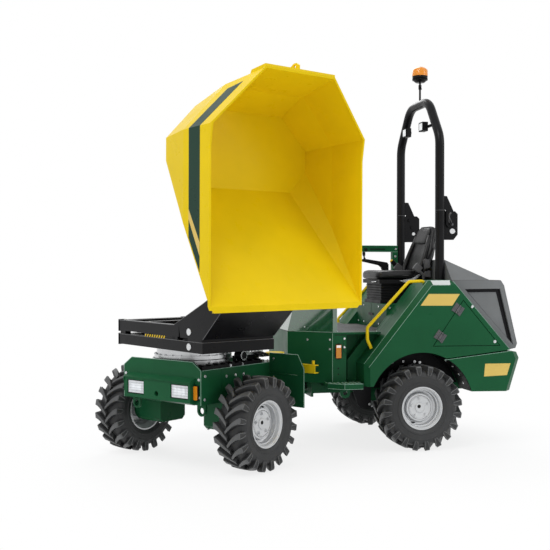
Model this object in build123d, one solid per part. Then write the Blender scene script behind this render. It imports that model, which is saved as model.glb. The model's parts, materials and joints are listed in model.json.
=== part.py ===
from build123d import *
import os
from math import atan2, cos, degrees, hypot, radians, sin, sqrt

# Swivel-skip site dumper, in millimetres, as it stands with its skip raised.
# Rear chassis frame: +X forward, +Y left, +Z up, zero on the ground under the articulation pivot.
# Front chassis frame: the rear one turned by STEER about the pivot.
# Skip frames: the front one moved to the slew ring and turned by SWIVEL, then tipped by TIP.

# ---- driving dimensions -------------------------------------------------------------------
STEER, SWIVEL, TIP = 38.9, 77.0, 90.4        # degrees, as the machine stands
ORIGIN = (247.3, -633.2, 0)                      # moves the whole machine over its own middle
FRONT_AXLE_X, REAR_AXLE_X, HALF_TRACK = 997, -1106, 641
TYRE_R, RIM_R = 355, 178
LUG_COUNT, LUG_ROOT_R, CROWN_R = 20, 286, 314
SLEW_X, RACE_R = 1000, 305                   # slew ring centre, front chassis frame, and its radius
TIP_X, TIP_Z = 750, 1260                     # tipping pin, swivel frame
WALL = 6                                     # skip sheet
BOX_HALF = 408                               # front chassis box, half width
FLANK_IN, FLANK_OUT = 505, 745               # rear flank pods, |y|
FLANK_TOP, LINER_TOP, BELLY_Z, BOX_BASE, TAIL_X = 1410, 1404, 474, 562, 1862
WALL_IN, WALL_OUT = 405, 425                 # rear chassis side walls, |y|
DECK_Z = 985                                 # footplate height
ARCH_R = 460                                 # rear wheel arch
HOOP_X, HOOP_Y, HOOP_R = -1378, 465, 39      # roll-over hoop tube
HOOP_SPLIT_Z, HOOP_BEND_Z, HOOP_TOP_Z, HOOP_TOP_Y = 2010, 2640, 2985, 215

REAR = Location(ORIGIN)
FRONT = REAR * Location((0, 0, 0), (0, 0, STEER))
SLEW = FRONT * Location((SLEW_X, 0, 0), (0, 0, SWIVEL))
TIPPED = SLEW * Location((TIP_X, 0, TIP_Z), (0, TIP, 0))

PLACE = {"x": lambda a, b, c: (c, a, b), "y": lambda a, b, c: (a, c, b), "z": lambda a, b, c: (a, b, c)}


# ---- shape helpers ------------------------------------------------------------------------
def slab(axis, low, high, points):
    """Plate with the outline `points`, square to one axis, from `low` to `high` along it."""
    place = PLACE[axis]
    face = Face(Wire.make_polygon([place(a, b, low) for a, b in points]))
    return extrude(face, amount=high - low, dir=Vector(*place(0, 0, 1)))


def block(x0, x1, y0, y1, z0, z1):
    return Pos((x0 + x1) / 2, (y0 + y1) / 2, (z0 + z1) / 2) * Box(x1 - x0, y1 - y0, z1 - z0)


def bar(start, end, radius):
    """Round bar between two points."""
    run = Vector(*end) - Vector(*start)
    base = Plane(origin=start, z_dir=run)
    return base * Cylinder(radius, run.length, align=(Align.CENTER, Align.CENTER, Align.MIN))


def bent_tube(points, bend_radius, radius):
    """Round tube that follows straight runs joined by arcs."""
    path = FilletPolyline(*points, radius=bend_radius)
    return sweep(Plane(origin=path @ 0, z_dir=path % 0) * Circle(radius), path=path)


def both_sides(part):
    """The part and its mirror image across the machine's middle."""
    return [part, mirror(part, about=Plane.XZ)]


def fused(parts):
    first, *rest = parts
    return first.fuse(*rest).clean() if rest else first


def keep_inside(body, inner, p, q, r, inset):
    """Cuts off what lies outside the plane through three points, moved inwards by `inset`."""
    p, q, r, inner = (Vector(*v) for v in (p, q, r, inner))
    normal = (q - p).cross(r - p).normalized()
    if normal.dot(inner - p) > 0:
        normal = normal * -1
    plane = Plane(origin=p - normal * inset, z_dir=normal)
    return split(body, bisect_by=plane, keep=Keep.BOTTOM)


def facet_ring(section, sides):
    """Ring about the Y axis: a closed (across, radius) section carried round a regular polygon."""
    def corner(i, across, radius):
        turn = radians(360 * i / sides)
        return (radius * sin(turn), across, radius * cos(turn))

    faces = []
    for i in range(sides):
        for (w0, r0), (w1, r1) in zip(section, section[1:] + section[:1]):
            corners = [corner(i, w0, r0), corner(i, w1, r1), corner(i + 1, w1, r1), corner(i + 1, w0, r0)]
            faces.append(Face(Wire.make_polygon(corners)))
    return Solid(Shell(faces))


# ---- wheels -------------------------------------------------------------------------------
CARCASS_SIDES = 30
BEAD_R = (RIM_R + 0.02) / cos(radians(180 / CARCASS_SIDES))     # its flats seat on the rim


def tyre():
    """Traction tyre about the Y axis, outer side +Y, with two rows of slanted lugs."""
    section = [(110, BEAD_R), (125, 240), (112, CROWN_R)]    # (half width, radius) bead to crown
    outline = section + [(-w, r) for w, r in reversed(section)]
    carcass = facet_ring(outline, CARCASS_SIDES)
    lug_plan = [(-6, 14), (-6, -16), (128, -78), (128, -18)]        # (across, along)
    reach = max(abs(along) for _, along in lug_plan)
    top = sqrt(TYRE_R**2 - reach**2)
    lug = slab("z", LUG_ROOT_R, top, [(along, across) for across, along in lug_plan])
    half_pitch = 180 / LUG_COUNT
    other = Rot(0, half_pitch, 0) * mirror(lug, about=Plane.XZ)
    lugs = [Rot(0, 2 * half_pitch * i, 0) * row for i in range(LUG_COUNT) for row in (lug, other)]
    return carcass.fuse(*lugs)


def rim():
    """Dished steel rim about the Y axis, outer side +Y, with its hub."""
    section = [  # (across, radius) round the drop-centre barrel and its disc
        (112, RIM_R), (112, 170), (96, 160), (60, 150), (34, 142), (22, 112), (22, 34), (14, 34),
        (14, 112), (26, 136), (-60, 136), (-96, 158), (-112, 168), (-112, RIM_R), (-104, RIM_R),
        (-98, 166), (-60, 146), (20, 146), (34, 152), (60, 160), (98, 168), (104, RIM_R)]
    dish = revolve(Face(Wire.make_polygon([(0, w, r) for w, r in section])), axis=Axis.Y)
    return fused([dish, bar((0, -60, 0), (0, 15, 0), 78), bar((0, 13, 0), (0, 38, 0), 36)])


# ---- both chassis -------------------------------------------------------------------------
FRONT_EYE, FRONT_EYE_R = (1272, 346, 450), 25          # tie-down holes, front frame, left side
REAR_EYE, REAR_EYE_R = (-478, 625, 486), 18            # rear frame, left side
TRUNNION_R, TRUNNION_Z, PIN_R, PIN_CLEARANCE = 60, 580, 35, 0.05


def motor_leg(axle_x, top):
    """Leg that hangs below the chassis beside the wheel, with the wheel motor on its outer face."""
    x0, x1 = axle_x - 147, axle_x + 133
    leg = slab("y", 232, 470, [
        (x0, top), (x1, top), (x1, 312), (x1 - 30, 283), (x0 + 30, 283), (x0, 312)])
    return leg + bar((axle_x, 469, TYRE_R), (axle_x, 572, TYRE_R), 92)


def front_motor_legs():
    return both_sides(motor_leg(FRONT_AXLE_X, 503))


def rear_motor_legs():
    x0, x1 = REAR_AXLE_X - 147, REAR_AXLE_X + 133
    gusset = block(x0, x1, WALL_OUT, 470, BELLY_Z - 14, 560)
    return both_sides(fused([motor_leg(REAR_AXLE_X, BELLY_Z - 12), gusset]))


# ---- front chassis ------------------------------------------------------------------------
def front_frame():
    """Closed housing of the front chassis with its nose plate and tie-down eyes."""
    box = slab("y", -BOX_HALF, BOX_HALF, [
        (330, 470), (560, 470), (610, 503), (1341, 503), (1341, 760), (430, 760), (330, 712)])
    nose = slab("x", 1341, 1353, [
        (-408, 503), (408, 503), (408, 760), (322, 820), (-322, 820), (-408, 760)])
    x, y, z = FRONT_EYE
    eye = block(x - 10, x + 10, y - 42, y + 42, z, 504) + bar((x - 10, y, z), (x + 10, y, z), 42)
    eye -= bar((x - 20, y, z), (x + 20, y, z), FRONT_EYE_R)
    frame = fused([box, nose] + both_sides(eye))
    return frame - bar((320, 0, TRUNNION_Z), (610, 0, TRUNNION_Z), TRUNNION_R + PIN_CLEARANCE)


def light_box():
    """Folded lamp box across the nose, recessed for the lamps."""
    body = slab("y", -348, 348, [(1353, 500), (1408, 520), (1408, 666), (1353, 692)])
    for y in LAMP_YS:
        body -= block(1380, 1420, y - 90, y + 90, 545, 652)
    return body - bar((1350, 0, 564), (1410, 0, 564), 20)


LAMP_YS = (-225, 240)


def headlights():
    return [block(1380, 1402, y - 84, y + 84, 551, 646) for y in LAMP_YS]


def front_markers():
    return both_sides(fillet(block(1353, 1373, 350, 386, 543, 645).edges().filter_by(Axis.X), 8))


def front_mudguards():
    """Guard plates behind the front wheels, folded back above the box."""
    lower = slab("x", 534, 542, [(408, 422), (752, 422), (752, 673), (408, 673)])
    upper = slab("x", 534, 542, [(408, 673), (752, 673), (752, 726), (692, 836), (408, 836)])
    return both_sides(fused([lower, upper]))


def slew_ring():
    """Lower race of the slew ring, bolted to the deck."""
    return Pos(SLEW_X, 0, 786) * (Cylinder(RACE_R + 12, 52) - Cylinder(RACE_R - 80, 60))


def slew_drive():
    """Black slew drive housing beside the ring, its motor facing left."""
    housing = block(590, 880, 306, 338, 760, 830)
    return fused([housing, bar((840, 320, 834), (840, 392, 834), 36)])


def slew_valve():
    """Bright valve block on the slew drive housing."""
    return block(600, 770, 308, 366, 830, 854)


def cable_channel():
    """Black cable duct along the deck's left edge, with its clamps."""
    rail = block(600, 1330, 344, 400, 760, 784)
    clamps = [block(x, x + 30, 340, 396, 784, 796) for x in range(640, 1300, 80)]
    return fused([rail] + clamps)


def lock_bar():
    """Channel-section articulation lock bar, stowed across the deck's side, with its disc pin."""
    channel = block(365, 415, BOX_HALF, 765, 679, 745)
    channel -= block(360, 409, BOX_HALF - 1, 766, 685, 739)
    end_pin = bar((390, 732, 745), (390, 732, 778), 11)
    post = bar((456, 375, 760), (456, 375, 816), 20)
    disc = bar((430, 375, 815), (430, 375, 829), 78)
    return [fused([channel, end_pin]), fused([post, disc])]


# ---- articulation knuckle -----------------------------------------------------------------
EAR_Z = ((430, 458), (662, 690))             # lower and upper ear of the rear chassis


def knuckle():
    """Sleeve on the articulation pin with the oscillation trunnion in front of it."""
    sleeve = bar((0, 0, 463), (0, 0, 657), 70)
    web = block(20, 150, -70, 70, 480, 640)
    collar = bar((100, 0, TRUNNION_Z), (322, 0, TRUNNION_Z), 84)
    trunnion = bar((322, 0, TRUNNION_Z), (600, 0, TRUNNION_Z), TRUNNION_R)
    arm = slab("z", 466, 494, [(0, 0), (60, 60), (122, 128), (108, 182), (62, 176), (10, 120), (-40, 60)])
    body = fused([sleeve, web, collar, trunnion, arm])
    return body - bar((0, 0, 400), (0, 0, 700), PIN_R + PIN_CLEARANCE)


# ---- rear chassis -------------------------------------------------------------------------
def rear_frame():
    """Belly plate, side walls, front cross plate and the post of the steering cylinder."""
    belly = block(-TAIL_X, -250, -WALL_OUT, WALL_OUT, BELLY_Z - 12, BELLY_Z)
    wall = slab("y", WALL_IN, WALL_OUT, [
        (-250, BELLY_Z), (-250, BOX_BASE), (-650, BOX_BASE), (-650, DECK_Z - 6), (-818, DECK_Z - 6),
        (-1138, 1370), (-1395, 1370), (-TAIL_X, 815), (-TAIL_X, BELLY_Z)])
    cross = block(-270, -250, -WALL_IN, WALL_IN, 430, 700)
    cross -= block(-280, -240, 105, 265, BELLY_Z, 560)
    x, y = STEER_BASE
    post = bar((x, y, BELLY_Z - 1), (x, y, STEER_Z - 16), 20)
    pin = bar((x, y, STEER_Z - 17), (x, y, STEER_Z + 30), 14.9)
    return fused([belly, cross, post, pin] + both_sides(wall))


def hinge_ears():
    """Upper and lower ear bolted to the cross plate, joined by the articulation pin."""
    ears = []
    for low, high in EAR_Z:
        plan = [(-250, -200), (-250, 200), (0, 84), (0, -84)]
        ears += [slab("z", low, high, plan), Pos(0, 0, (low + high) / 2) * Cylinder(84, high - low)]
    return fused(ears + [bar((0, 0, 425), (0, 0, 696), PIN_R)])


def arch_cut(y0, y1, radius=ARCH_R):
    return Pos(REAR_AXLE_X, (y0 + y1) / 2, TYRE_R) * Rot(90, 0, 0) * Cylinder(radius, y1 - y0)


def flank():
    """Left flank pod: wheel arch, slanted nose and tail, broad chamfer along its outer front edges."""
    body = slab("y", FLANK_IN, FLANK_OUT, [
        (-618, 545), (-615, 727), (-1173, FLANK_TOP), (-1375, FLANK_TOP), (-1898, 824), (-1300, 759),
        (-1300, 545)])
    body -= arch_cut(FLANK_IN - 10, FLANK_OUT + 10)
    body -= arch_cut(FLANK_IN - 10, FLANK_OUT - 26, ARCH_R + 22)
    front = [e for e in body.edges().filter_by(Plane.XZ).filter_by(GeomType.LINE)
             if abs(e.center().Y - FLANK_OUT) < 1 and e.center().X > -1290 and e.center().Z > 600]
    body = chamfer(front, 40)
    liner = slab("y", WALL_OUT, FLANK_IN, [
        (-538, 571), (-538, 746), (-714, 962), (-806, 962), (-1167, LINER_TOP), (-1330, LINER_TOP),
        (-1330, 545), (-603, 545), (-603, 571)])
    liner -= arch_cut(WALL_OUT - 10, FLANK_IN + 10, ARCH_R + 22)
    pocket = slab("y", FLANK_OUT - DOOR_DEPTH - 10, FLANK_OUT + 1, grown(DOOR, DOOR_GAP))
    return fused([body, liner]) - pocket


def grown(points, gap):
    """Outline moved outwards by `gap`, as (a, b) corners."""
    wire = offset(Wire.make_polygon([(a, b, 0) for a, b in points]), gap, kind=Kind.INTERSECTION)
    return [(v.X, v.Y) for v in wire.vertices()]


def counterweight():
    """Full-width rear skirt, chamfered along its slanted rear edges."""
    tail = [(-1898, 813), (-1980, 800), (-2003, 748), (-1915, 476), (-1864, 474)]
    side = slab("y", FLANK_IN, FLANK_OUT, [(-1300, 751)] + tail + [(-1525, 481)])
    side -= arch_cut(FLANK_IN - 10, FLANK_OUT + 10)
    middle = slab("y", -FLANK_IN, FLANK_IN, [(-TAIL_X, 813)] + tail[:-1] + [(-TAIL_X, 474)])
    body = fused([middle] + both_sides(side))
    edges = [e for e in body.edges().filter_by(Plane.XZ)
             if abs(abs(e.center().Y) - FLANK_OUT) < 1 and e.center().X < -1950]
    return chamfer(edges, 50)


def battery_block():
    return block(-1590, -945, -360, 360, BELLY_Z, 1100)


def front_box():
    """Box under the footplate, whose top plate reaches back over the entry recesses."""
    body = slab("z", BOX_BASE, DECK_Z - 6, deck_plan(-500, 594, -645, 424))
    top = slab("z", DECK_Z - 20, DECK_Z - 6, [(-490, 426), (-490, 594), (-800, 594), (-800, 426)])
    return fused([body] + both_sides(top)) - block(-300, 0, -410, 410, 500, 720)


def deck_plan(shoulder_x, shoulder_half, rear_x, rear_half):
    """Plan with the chamfered nose, the shoulders, and the narrower part between the walls."""
    half = [(-60, 343), (-381, 594), (shoulder_x, shoulder_half), (shoulder_x, rear_half),
            (rear_x, rear_half)]
    return half + [(x, -y) for x, y in reversed(half)]


def footplate():
    """Ribbed deck sheet."""
    return slab("z", DECK_Z - 6, DECK_Z, deck_plan(-800, 594, -920, 400))


def side_markers():
    """Amber marker lamps on the footplate box's sides."""
    return both_sides(block(-454, -410, 594, 604, 771, 879))


def dash_shield():
    """Shield round the footplate: its front sheet leans back, its rear posts stand upright."""
    lean, rise, sheet = 110, 410, 14
    edge = [(-62, 343), (-383, 592), (-383 - sheet, 580), (-62 - sheet, 332)]
    foot = edge + [(x, -y) for x, y in reversed(edge)]
    top = [(x, y) if abs(x) > 300 else (x - lean, y * 0.9) for x, y in foot]
    lower = Face(Wire.make_polygon([(x, y, DECK_Z) for x, y in foot]))
    upper = Face(Wire.make_polygon([(x, y, DECK_Z + rise) for x, y in top]))
    post = block(-420, -384, 560, 594, DECK_Z, DECK_Z + rise)
    return fused([loft([lower, upper], ruled=True)] + both_sides(post))


def dashboard():
    """Instrument console with its sloping top and the steering column."""
    body = slab("y", -190, 190, [(-130, DECK_Z), (-215, 1370), (-330, 1350), (-420, 1280), (-300, DECK_Z)])
    return fused([body, bar(COLUMN_FOOT, COLUMN_TOP, 26)])


COLUMN_FOOT, COLUMN_TOP = (-360, 0, 1296), (-455, 0, 1418)


def steering_wheel():
    """Three-spoke wheel, modelled flat about Z."""
    grip = [(13 * cos(radians(60 * i)), 172 + 13 * sin(radians(60 * i))) for i in range(6)]
    ring = Rot(90, 0, 0) * facet_ring(grip, 24)
    boss = Pos(0, 0, -10) * Cylinder(34, 40)
    spokes = [Rot(0, 0, 90 + 120 * i) * block(20, 166, -11, 11, -6, 4) for i in range(3)]
    return fused([ring, boss] + spokes)


def steps():
    """Entry steps with the rear tie-down rings under them."""
    tread = slab("z", 529, 571, [(-335, 425), (-325, 650), (-440, 745), (-598, 745), (-598, 425)])
    tread -= slab("z", BOX_BASE, 600, deck_plan(-500, 594, -645, 424))
    x, y, z = REAR_EYE
    ring = block(x - 44, x + 44, y - 9, y + 9, z, 530) + bar((x, y - 9, z), (x, y + 9, z), 44)
    ring -= bar((x, y - 20, z), (x, y + 20, z), REAR_EYE_R)
    return both_sides(fused([tread, ring]))


def seat_box():
    return block(-1335, -920, -400, 400, DECK_Z, 1200) - block(-1400, -940, -380, 380, DECK_Z - 5, 1190)


def seat_base():
    """Suspension of the seat with its bellows."""
    rails = block(-1290, -930, -215, 215, 1200, 1230)
    bellows = block(-1275, -945, -195, 195, 1230, 1375)
    pan = block(-1362, -918, -225, 225, 1375, 1410)
    return fused([rails, bellows, pan])


def seat_cushion():
    pad = block(-1290, -910, -235, 235, 1410.5, 1492)
    return chamfer(pad.edges().filter_by(Axis.Z) + pad.edges().group_by(Axis.Z)[-1], 30)


def seat_back():
    """Backrest, narrower towards its head."""
    body = slab("y", -225, 225, [
        (-1296, 1450), (-1296, 1410.5), (-1360, 1410.5), (-1380, 1480), (-1510, 1870), (-1440, 1890),
        (-1350, 1640)])
    front_view = [(-225, 1400), (225, 1400), (225, 1640), (160, 1900), (-160, 1900), (-225, 1640)]
    return body & slab("x", -1600, -1200, front_view)


def handrails(flank_left):
    """Entry handrails, the right one further back; their ends stand on the flanks' slanted fronts."""
    rails = []
    for back in (0, 140):
        points = [(-700, 640, 850), (-668, 640, 920), (-665, 640, 1020), (-1030, 640, 1400),
                  (-1150, 640, 1403), (-1215, 640, 1350)]
        rail = bent_tube([(x - back, y, z) for x, y, z in points], 38, 13) - flank_left
        rails.append(max(rail.solids(), key=lambda piece: piece.volume))
    return [rails[0], mirror(rails[1], about=Plane.XZ)]


def guard_bar():
    """Right-hand side guard with its leg and the control pod."""
    rail = block(-1338, -560, -490, -440, 1661, 1722)
    leg = block(-1338, -1285, -490, -440, LINER_TOP, 1662)
    return fused([rail, leg])


def control_pod():
    arm = slab("y", -300, -240, [(-1180, 1376), (-1180, 1560), (-930, 1600), (-900, 1570), (-1100, 1376)])
    arm = arm + block(-1180, -1110, -245, -225.5, 1376, 1405)
    lever = bar((-950, -270, 1570), (-940, -270, 1660), 16)
    return fused([arm, lever])


HOOD_HINGE = (-1998, 818)                    # (x, z) of the hood's hinge line


def hood():
    """Moulded tail hood: hollow, humped at the front, with a recessed panel on each side."""
    skin, cheek = 12, 32
    outline = [(-1425, 1368), (-1425, 1583), (-1765, 1410), (-1873, 1408), (-1904, 1364), (-2027, 864),
               (-2012, 825), (-1961, 815)]
    inside = [(-1437, 1300), (-1437, 1563), (-1762, 1398), (-1867, 1396), (-1893, 1361), (-2014, 866),
              (-2003, 837), (-1965, 828), (-1940, 780), (-1870, 780)]
    body = slab("y", -620, 620, outline)
    room = slab("y", -620 + cheek, 620 - cheek, inside)
    for side in (1, -1):
        hump = [(-1430, side * 450, 1583), (-1420, side * 620, 1408), (-1752, side * 620, 1411)]
        body = keep_inside(body, (-1700, 0, 1200), *hump, 0)
        room = keep_inside(room, (-1700, 0, 1200), *hump, skin)
    body -= room
    panel = slab("y", 600, 630, [(-1541, 1334), (-1868, 1336), (-1991, 851)])
    for cut in both_sides(panel):
        body -= cut
    x, z = HOOD_HINGE
    return fused([body] + both_sides(bar((x, 260, z), (x, 340, z), 9)))


DOOR = [(-1472, 1240), (-1797, 864), (-1210, 869)]   # service door corners, (x, z)
DOOR_DEPTH, DOOR_GAP, DOOR_HINGE_OUT = 4, 6, 9


def service_door():
    """Triangular door with two hinges along its front edge."""
    plate = slab("y", FLANK_OUT - DOOR_DEPTH, FLANK_OUT, DOOR)
    (ax, az), _, (cx, cz) = DOOR
    run = hypot(cx - ax, cz - az)
    dx, dz = (cx - ax) / run, (cz - az) / run
    parts = [plate]
    for share in (0.19, 0.79):
        x, z = ax + share * (cx - ax), az + share * (cz - az)
        axis_y = FLANK_OUT + DOOR_HINGE_OUT
        parts.append(bar((x - 20 * dx, axis_y, z - 20 * dz), (x + 20 * dx, axis_y, z + 20 * dz), 8))
        parts.append(slab("y", FLANK_OUT, FLANK_OUT + 4, [
            (x - 20 * dx, z - 20 * dz), (x + 20 * dx, z + 20 * dz),
            (x + 20 * dx + 42 * dz, z + 20 * dz - 42 * dx),
            (x - 20 * dx + 42 * dz, z - 20 * dz - 42 * dx)]))
    return fused(parts)


# ---- roll-over hoop -----------------------------------------------------------------------
def hoop_posts():
    """Fixed lower posts with their foot plates, fold plates and pivot pins."""
    post = bar((HOOP_X, HOOP_Y, 812), (HOOP_X, HOOP_Y, HOOP_SPLIT_Z - 3), HOOP_R)
    plate = slab("y", HOOP_Y - 30, HOOP_Y - 22, [
        (HOOP_X - 10, 1754), (-1516, 1755), (-1555, 1801), (-1555, 1980), (-1530, 2003),
        (HOOP_X - 10, 2003)])
    pivot = bar((FOLD_X, HOOP_Y - 38, FOLD_Z), (FOLD_X, HOOP_Y + 6, FOLD_Z), FOLD_PIN_R)
    foot = block(HOOP_X - 50, HOOP_X + 36, WALL_OUT, HOOP_Y + 38, 812, 824)
    return both_sides(fused([post, plate, pivot, foot]))


def hoop():
    """Folding upper half of the roll-over hoop with its pivot plates and beacon bracket."""
    y, top = HOOP_Y, HOOP_TOP_Y
    tube = bent_tube([(HOOP_X, -y, HOOP_SPLIT_Z), (HOOP_X, -y, HOOP_BEND_Z), (HOOP_X, -top, HOOP_TOP_Z),
                      (HOOP_X, top, HOOP_TOP_Z), (HOOP_X, y, HOOP_BEND_Z), (HOOP_X, y, HOOP_SPLIT_Z)],
                     210, HOOP_R)
    plate = slab("y", y - 16, y - 6, [
        (HOOP_X - 20, 2136), (-1448, 2132), (-1508, 2006), (-1518, 1900), (-1500, 1862), (-1460, 1862),
        (-1442, 1890), (-1442, 2012), (HOOP_X - 20, 2012)])
    plate -= bar((FOLD_X, 0, FOLD_Z), (FOLD_X, 600, FOLD_Z), FOLD_PIN_R + PIN_CLEARANCE)
    stem = bar((HOOP_X, 13, HOOP_TOP_Z + 25), (HOOP_X, 13, 3190), 9)
    cup = Pos(HOOP_X, 13, 3188) * Cone(40, 66, 22, align=(Align.CENTER, Align.CENTER, Align.MIN))
    base = bar((HOOP_X, 13, 3209), (HOOP_X, 13, BEACON_Z), 66)
    arm = block(HOOP_X + 5, HOOP_X + 17, 180, 380, 2748, 2772)
    return fused([tube, stem, cup, base] + both_sides(plate) + both_sides(arm))


FOLD_X, FOLD_Z, FOLD_PIN_R = -1480, 1895, 12       # pivot of the folding hoop
BEACON_Z = 3245                                    # seat of the beacon's lens


def beacon_lens():
    """Amber dome: a straight skirt under a shallow cone."""
    dome = Cone(69, 34, 30, align=(Align.CENTER, Align.CENTER, Align.MIN))
    skirt = bar((HOOP_X, 13, BEACON_Z), (HOOP_X, 13, BEACON_Z + 55), 69)
    return fused([skirt, Pos(HOOP_X, 13, BEACON_Z + 55) * dome])


def work_lights():
    return both_sides(block(HOOP_X + 17, HOOP_X + 67, 155, 245, 2720, 2800))


# ---- swivel frames ------------------------------------------------------------------------
FRAME_X0, FRAME_X1, FRAME_Y = -590, 610, 330


def slew_race():
    """Upper race of the slew ring, in two tiers."""
    tiers = Pos(0, 0, 831) * Cylinder(RACE_R, 28) + Pos(0, 0, 870) * Cylinder(RACE_R - 20, 54)
    return tiers - Pos(0, 0, 857) * Cylinder(RACE_R - 65, 90)


def swivel_lower_frame():
    """Welded tray on the slew ring's upper race."""
    tray = block(FRAME_X0, FRAME_X1, -FRAME_Y, FRAME_Y, 897, 978)
    return tray - block(FRAME_X0 + 60, FRAME_X1 - 60, -FRAME_Y + 60, FRAME_Y - 60, 907, 980)


def swivel_upper_frame():
    """Second welded frame that carries the tipping wedge, on spacer blocks."""
    rail = [block(FRAME_X0, 300, y, y + 55, 1005, 1090) for y in (-FRAME_Y, FRAME_Y - 55)]
    cross = [block(x, x + 60, -FRAME_Y, FRAME_Y, 1005, 1090) for x in (FRAME_X0, -275, 240)]
    spacers = [block(x, x + 80, y, y + 50, 978, 1005) for x in (FRAME_X0 + 20, -200, 200)
               for y in (-FRAME_Y + 2, FRAME_Y - 52)]
    x, z = TIP_BASE
    ears = [block(-216, x + 16, y, y + 12, 1005, z + 26) for y in (-44, 32)]
    pin = bar((x, -46, z), (x, 46, z), 14.9)
    return fused(rail + cross + spacers + ears + [pin])


def tip_wedge():
    """Wedge-shaped tipping bracket: two side plates, the sloping front plate and the pin."""
    side = slab("y", FRAME_Y - 12, FRAME_Y, [
        (75, 1090), (235, 1090), (636, 1270), (706, 1305), (794, 1305), (833, 1200), (613, 1000), (320, 1000),
        (300, 1090)])
    cap = Pos(TIP_X, FRAME_Y - 6, TIP_Z) * Rot(90, 0, 0) * Cylinder(62, 12)
    front = slab("y", -FRAME_Y + 12, FRAME_Y - 12, [(598, 1000), (613, 1000), (833, 1200), (826, 1210)])
    floor = block(300, 613, -FRAME_Y + 12, FRAME_Y - 12, 1000, 1012)
    feet = block(420, 600, -FRAME_Y, FRAME_Y, 978, 1001)
    pin = bar((TIP_X, -FRAME_Y - 8, TIP_Z), (TIP_X, FRAME_Y + 8, TIP_Z), 25)
    return fused([front, floor, feet, pin] + both_sides(side) + both_sides(cap))


# ---- skip ---------------------------------------------------------------------------------
# Level skip seen from its tipping pin: u runs back from the lip, v to the side, w up from the rim.
LIP_RISE = 450


def skip_point(u, v, w):
    return (-u, v, LIP_RISE + w)


SKIP_FACES = [  # three (u, v, w) points of each face on the left; those with v = 0 cross the middle
    ((0, 0, 0), (0, 675, 0), (832, 0, -593)),                    # chute
    ((832, 0, -593), (1406, 0, -593), (1045, 638, -593)),        # floor
    ((1406, 0, -593), (1406, 397, -593), (1518, 0, -316)),       # rear, lower
    ((1518, 0, -316), (1518, 361, -316), (1588, 0, 104)),        # rear, upper
    ((0, 677, 0), (1039, 677, 0), (556, 677, -316)),             # side band
    ((1045, 638, -593), (1160, 638, -593), (1186, 677, -316)),   # side, lower
    ((0, 677, 0), (556, 677, -316), (832, 479, -593)),           # chute flare
    ((1197, 677, 23), (1186, 677, -316), (1588, 304, 104)),      # rear corner, upper
    ((1160, 638, -593), (1406, 397, -593), (1186, 677, -316)),   # rear corner, lower
]
RIM_PROFILE = [(-60, 0), (1039, 0), (1197, 23), (1588, 104), (1700, 127)]


def skip_solid(inset, rim_lift):
    """The skip's outer form, or its inside when inset by the sheet."""
    top = [(-u, LIP_RISE + w + rim_lift) for u, w in RIM_PROFILE]
    body = slab("y", -800, 800, top + [(-1700, LIP_RISE - 800), (60, LIP_RISE - 800)])
    middle = skip_point(900, 0, -250)
    for face in SKIP_FACES:
        for side in (1, -1):
            points = [skip_point(u, side * v, w) for u, v, w in face]
            body = keep_inside(body, middle, *points, inset)
            if all(v == 0 for _, v, _ in face):
                break
    return body


def skip():
    """Folded-sheet skip: open chute, bar round its mouth, folded lip strip, rear stiffener."""
    mouth = skip_solid(-8, 0) - skip_solid(-20, -14)
    shell = fused([skip_solid(0, 0), mouth]) - skip_solid(WALL, 40)
    strip = slab("z", LIP_RISE - 8, LIP_RISE, [(-2, -675), (32, -640), (32, 640), (-2, 675)])
    fold = block(24, 32, -640, 640, LIP_RISE - 28, LIP_RISE - 1)
    stiffener = slab("y", -310, 310, [(-1584, 553), (-1612, 554), (-1592, 400), (-1558, 385)])
    return fused([shell, strip, fold, stiffener])


def skip_underframe():
    """Tipping lugs under the chute, the cylinder bracket and the lip stiffener."""
    lug = slab("y", 250, 270, [(40, 0), (-8, 430), (-420, 145), (-300, 60), (-40, -20), (0, -42), (28, -30)])
    lug = lug + Pos(0, 260, 0) * Rot(90, 0, 0) * Cylinder(42, 20)
    bracket = slab("y", 32, 44, [(-145, 60), (-110, 360), (-330, 205), (-215, 40)])
    bracket = bracket + Pos(-180, 38, 70) * Rot(90, 0, 0) * Cylinder(36, 12)
    tie = block(-330, -300, -270, 270, 130, 200)
    body = fused(both_sides(lug) + both_sides(bracket) + [tie])
    chute = slab("y", -300, 300, [skip_xz(0, 0), skip_xz(900, -641), skip_xz(900, 200), skip_xz(0, 200)])
    body -= chute
    return body - bar((0, -300, 0), (0, 300, 0), 25 + PIN_CLEARANCE)


def skip_xz(u, w):
    return (-u, LIP_RISE + w)


EAR_HOLE, EAR_HOLE_R = (-1632, -18, 512), 11


def lifting_ear():
    ear = slab("y", -24, -12, [(-1612, 554), (-1592, 400), (-1655, 500), (-1655, 530), (-1640, 554)])
    return ear - Pos(*EAR_HOLE) * Rot(90, 0, 0) * Cylinder(EAR_HOLE_R, 30)


# ---- cylinders ----------------------------------------------------------------------------
TIP_BASE, TIP_EYE = (-160, 1040), (-180, 70)       # swivel frame (x, z); level skip frame (x, z)
STEER_BASE, STEER_EYE_R, STEER_EYE_ANGLE, STEER_Z = (-450, 220), 170, 59, 512


def tip_ends():
    """Both pins of the tip cylinder as it stands, in the swivel frame."""
    turn = radians(TIP)
    x, z = TIP_EYE
    eye = (TIP_X + x * cos(turn) + z * sin(turn), TIP_Z - x * sin(turn) + z * cos(turn))
    return TIP_BASE, eye


def cylinder_barrel(length, radius, rod_radius, eye_width):
    """Barrel along +X from its base pin, bored for the rod."""
    tube = bar((radius * 0.7, 0, 0), (length, 0, 0), radius)
    tube -= bar((60, 0, 0), (length + 1, 0, 0), rod_radius + 0.5)
    eye = Rot(90, 0, 0) * Cylinder(radius * 0.95, eye_width)
    return fused([tube, eye]) - Rot(90, 0, 0) * Cylinder(15, eye_width + 2)


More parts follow.
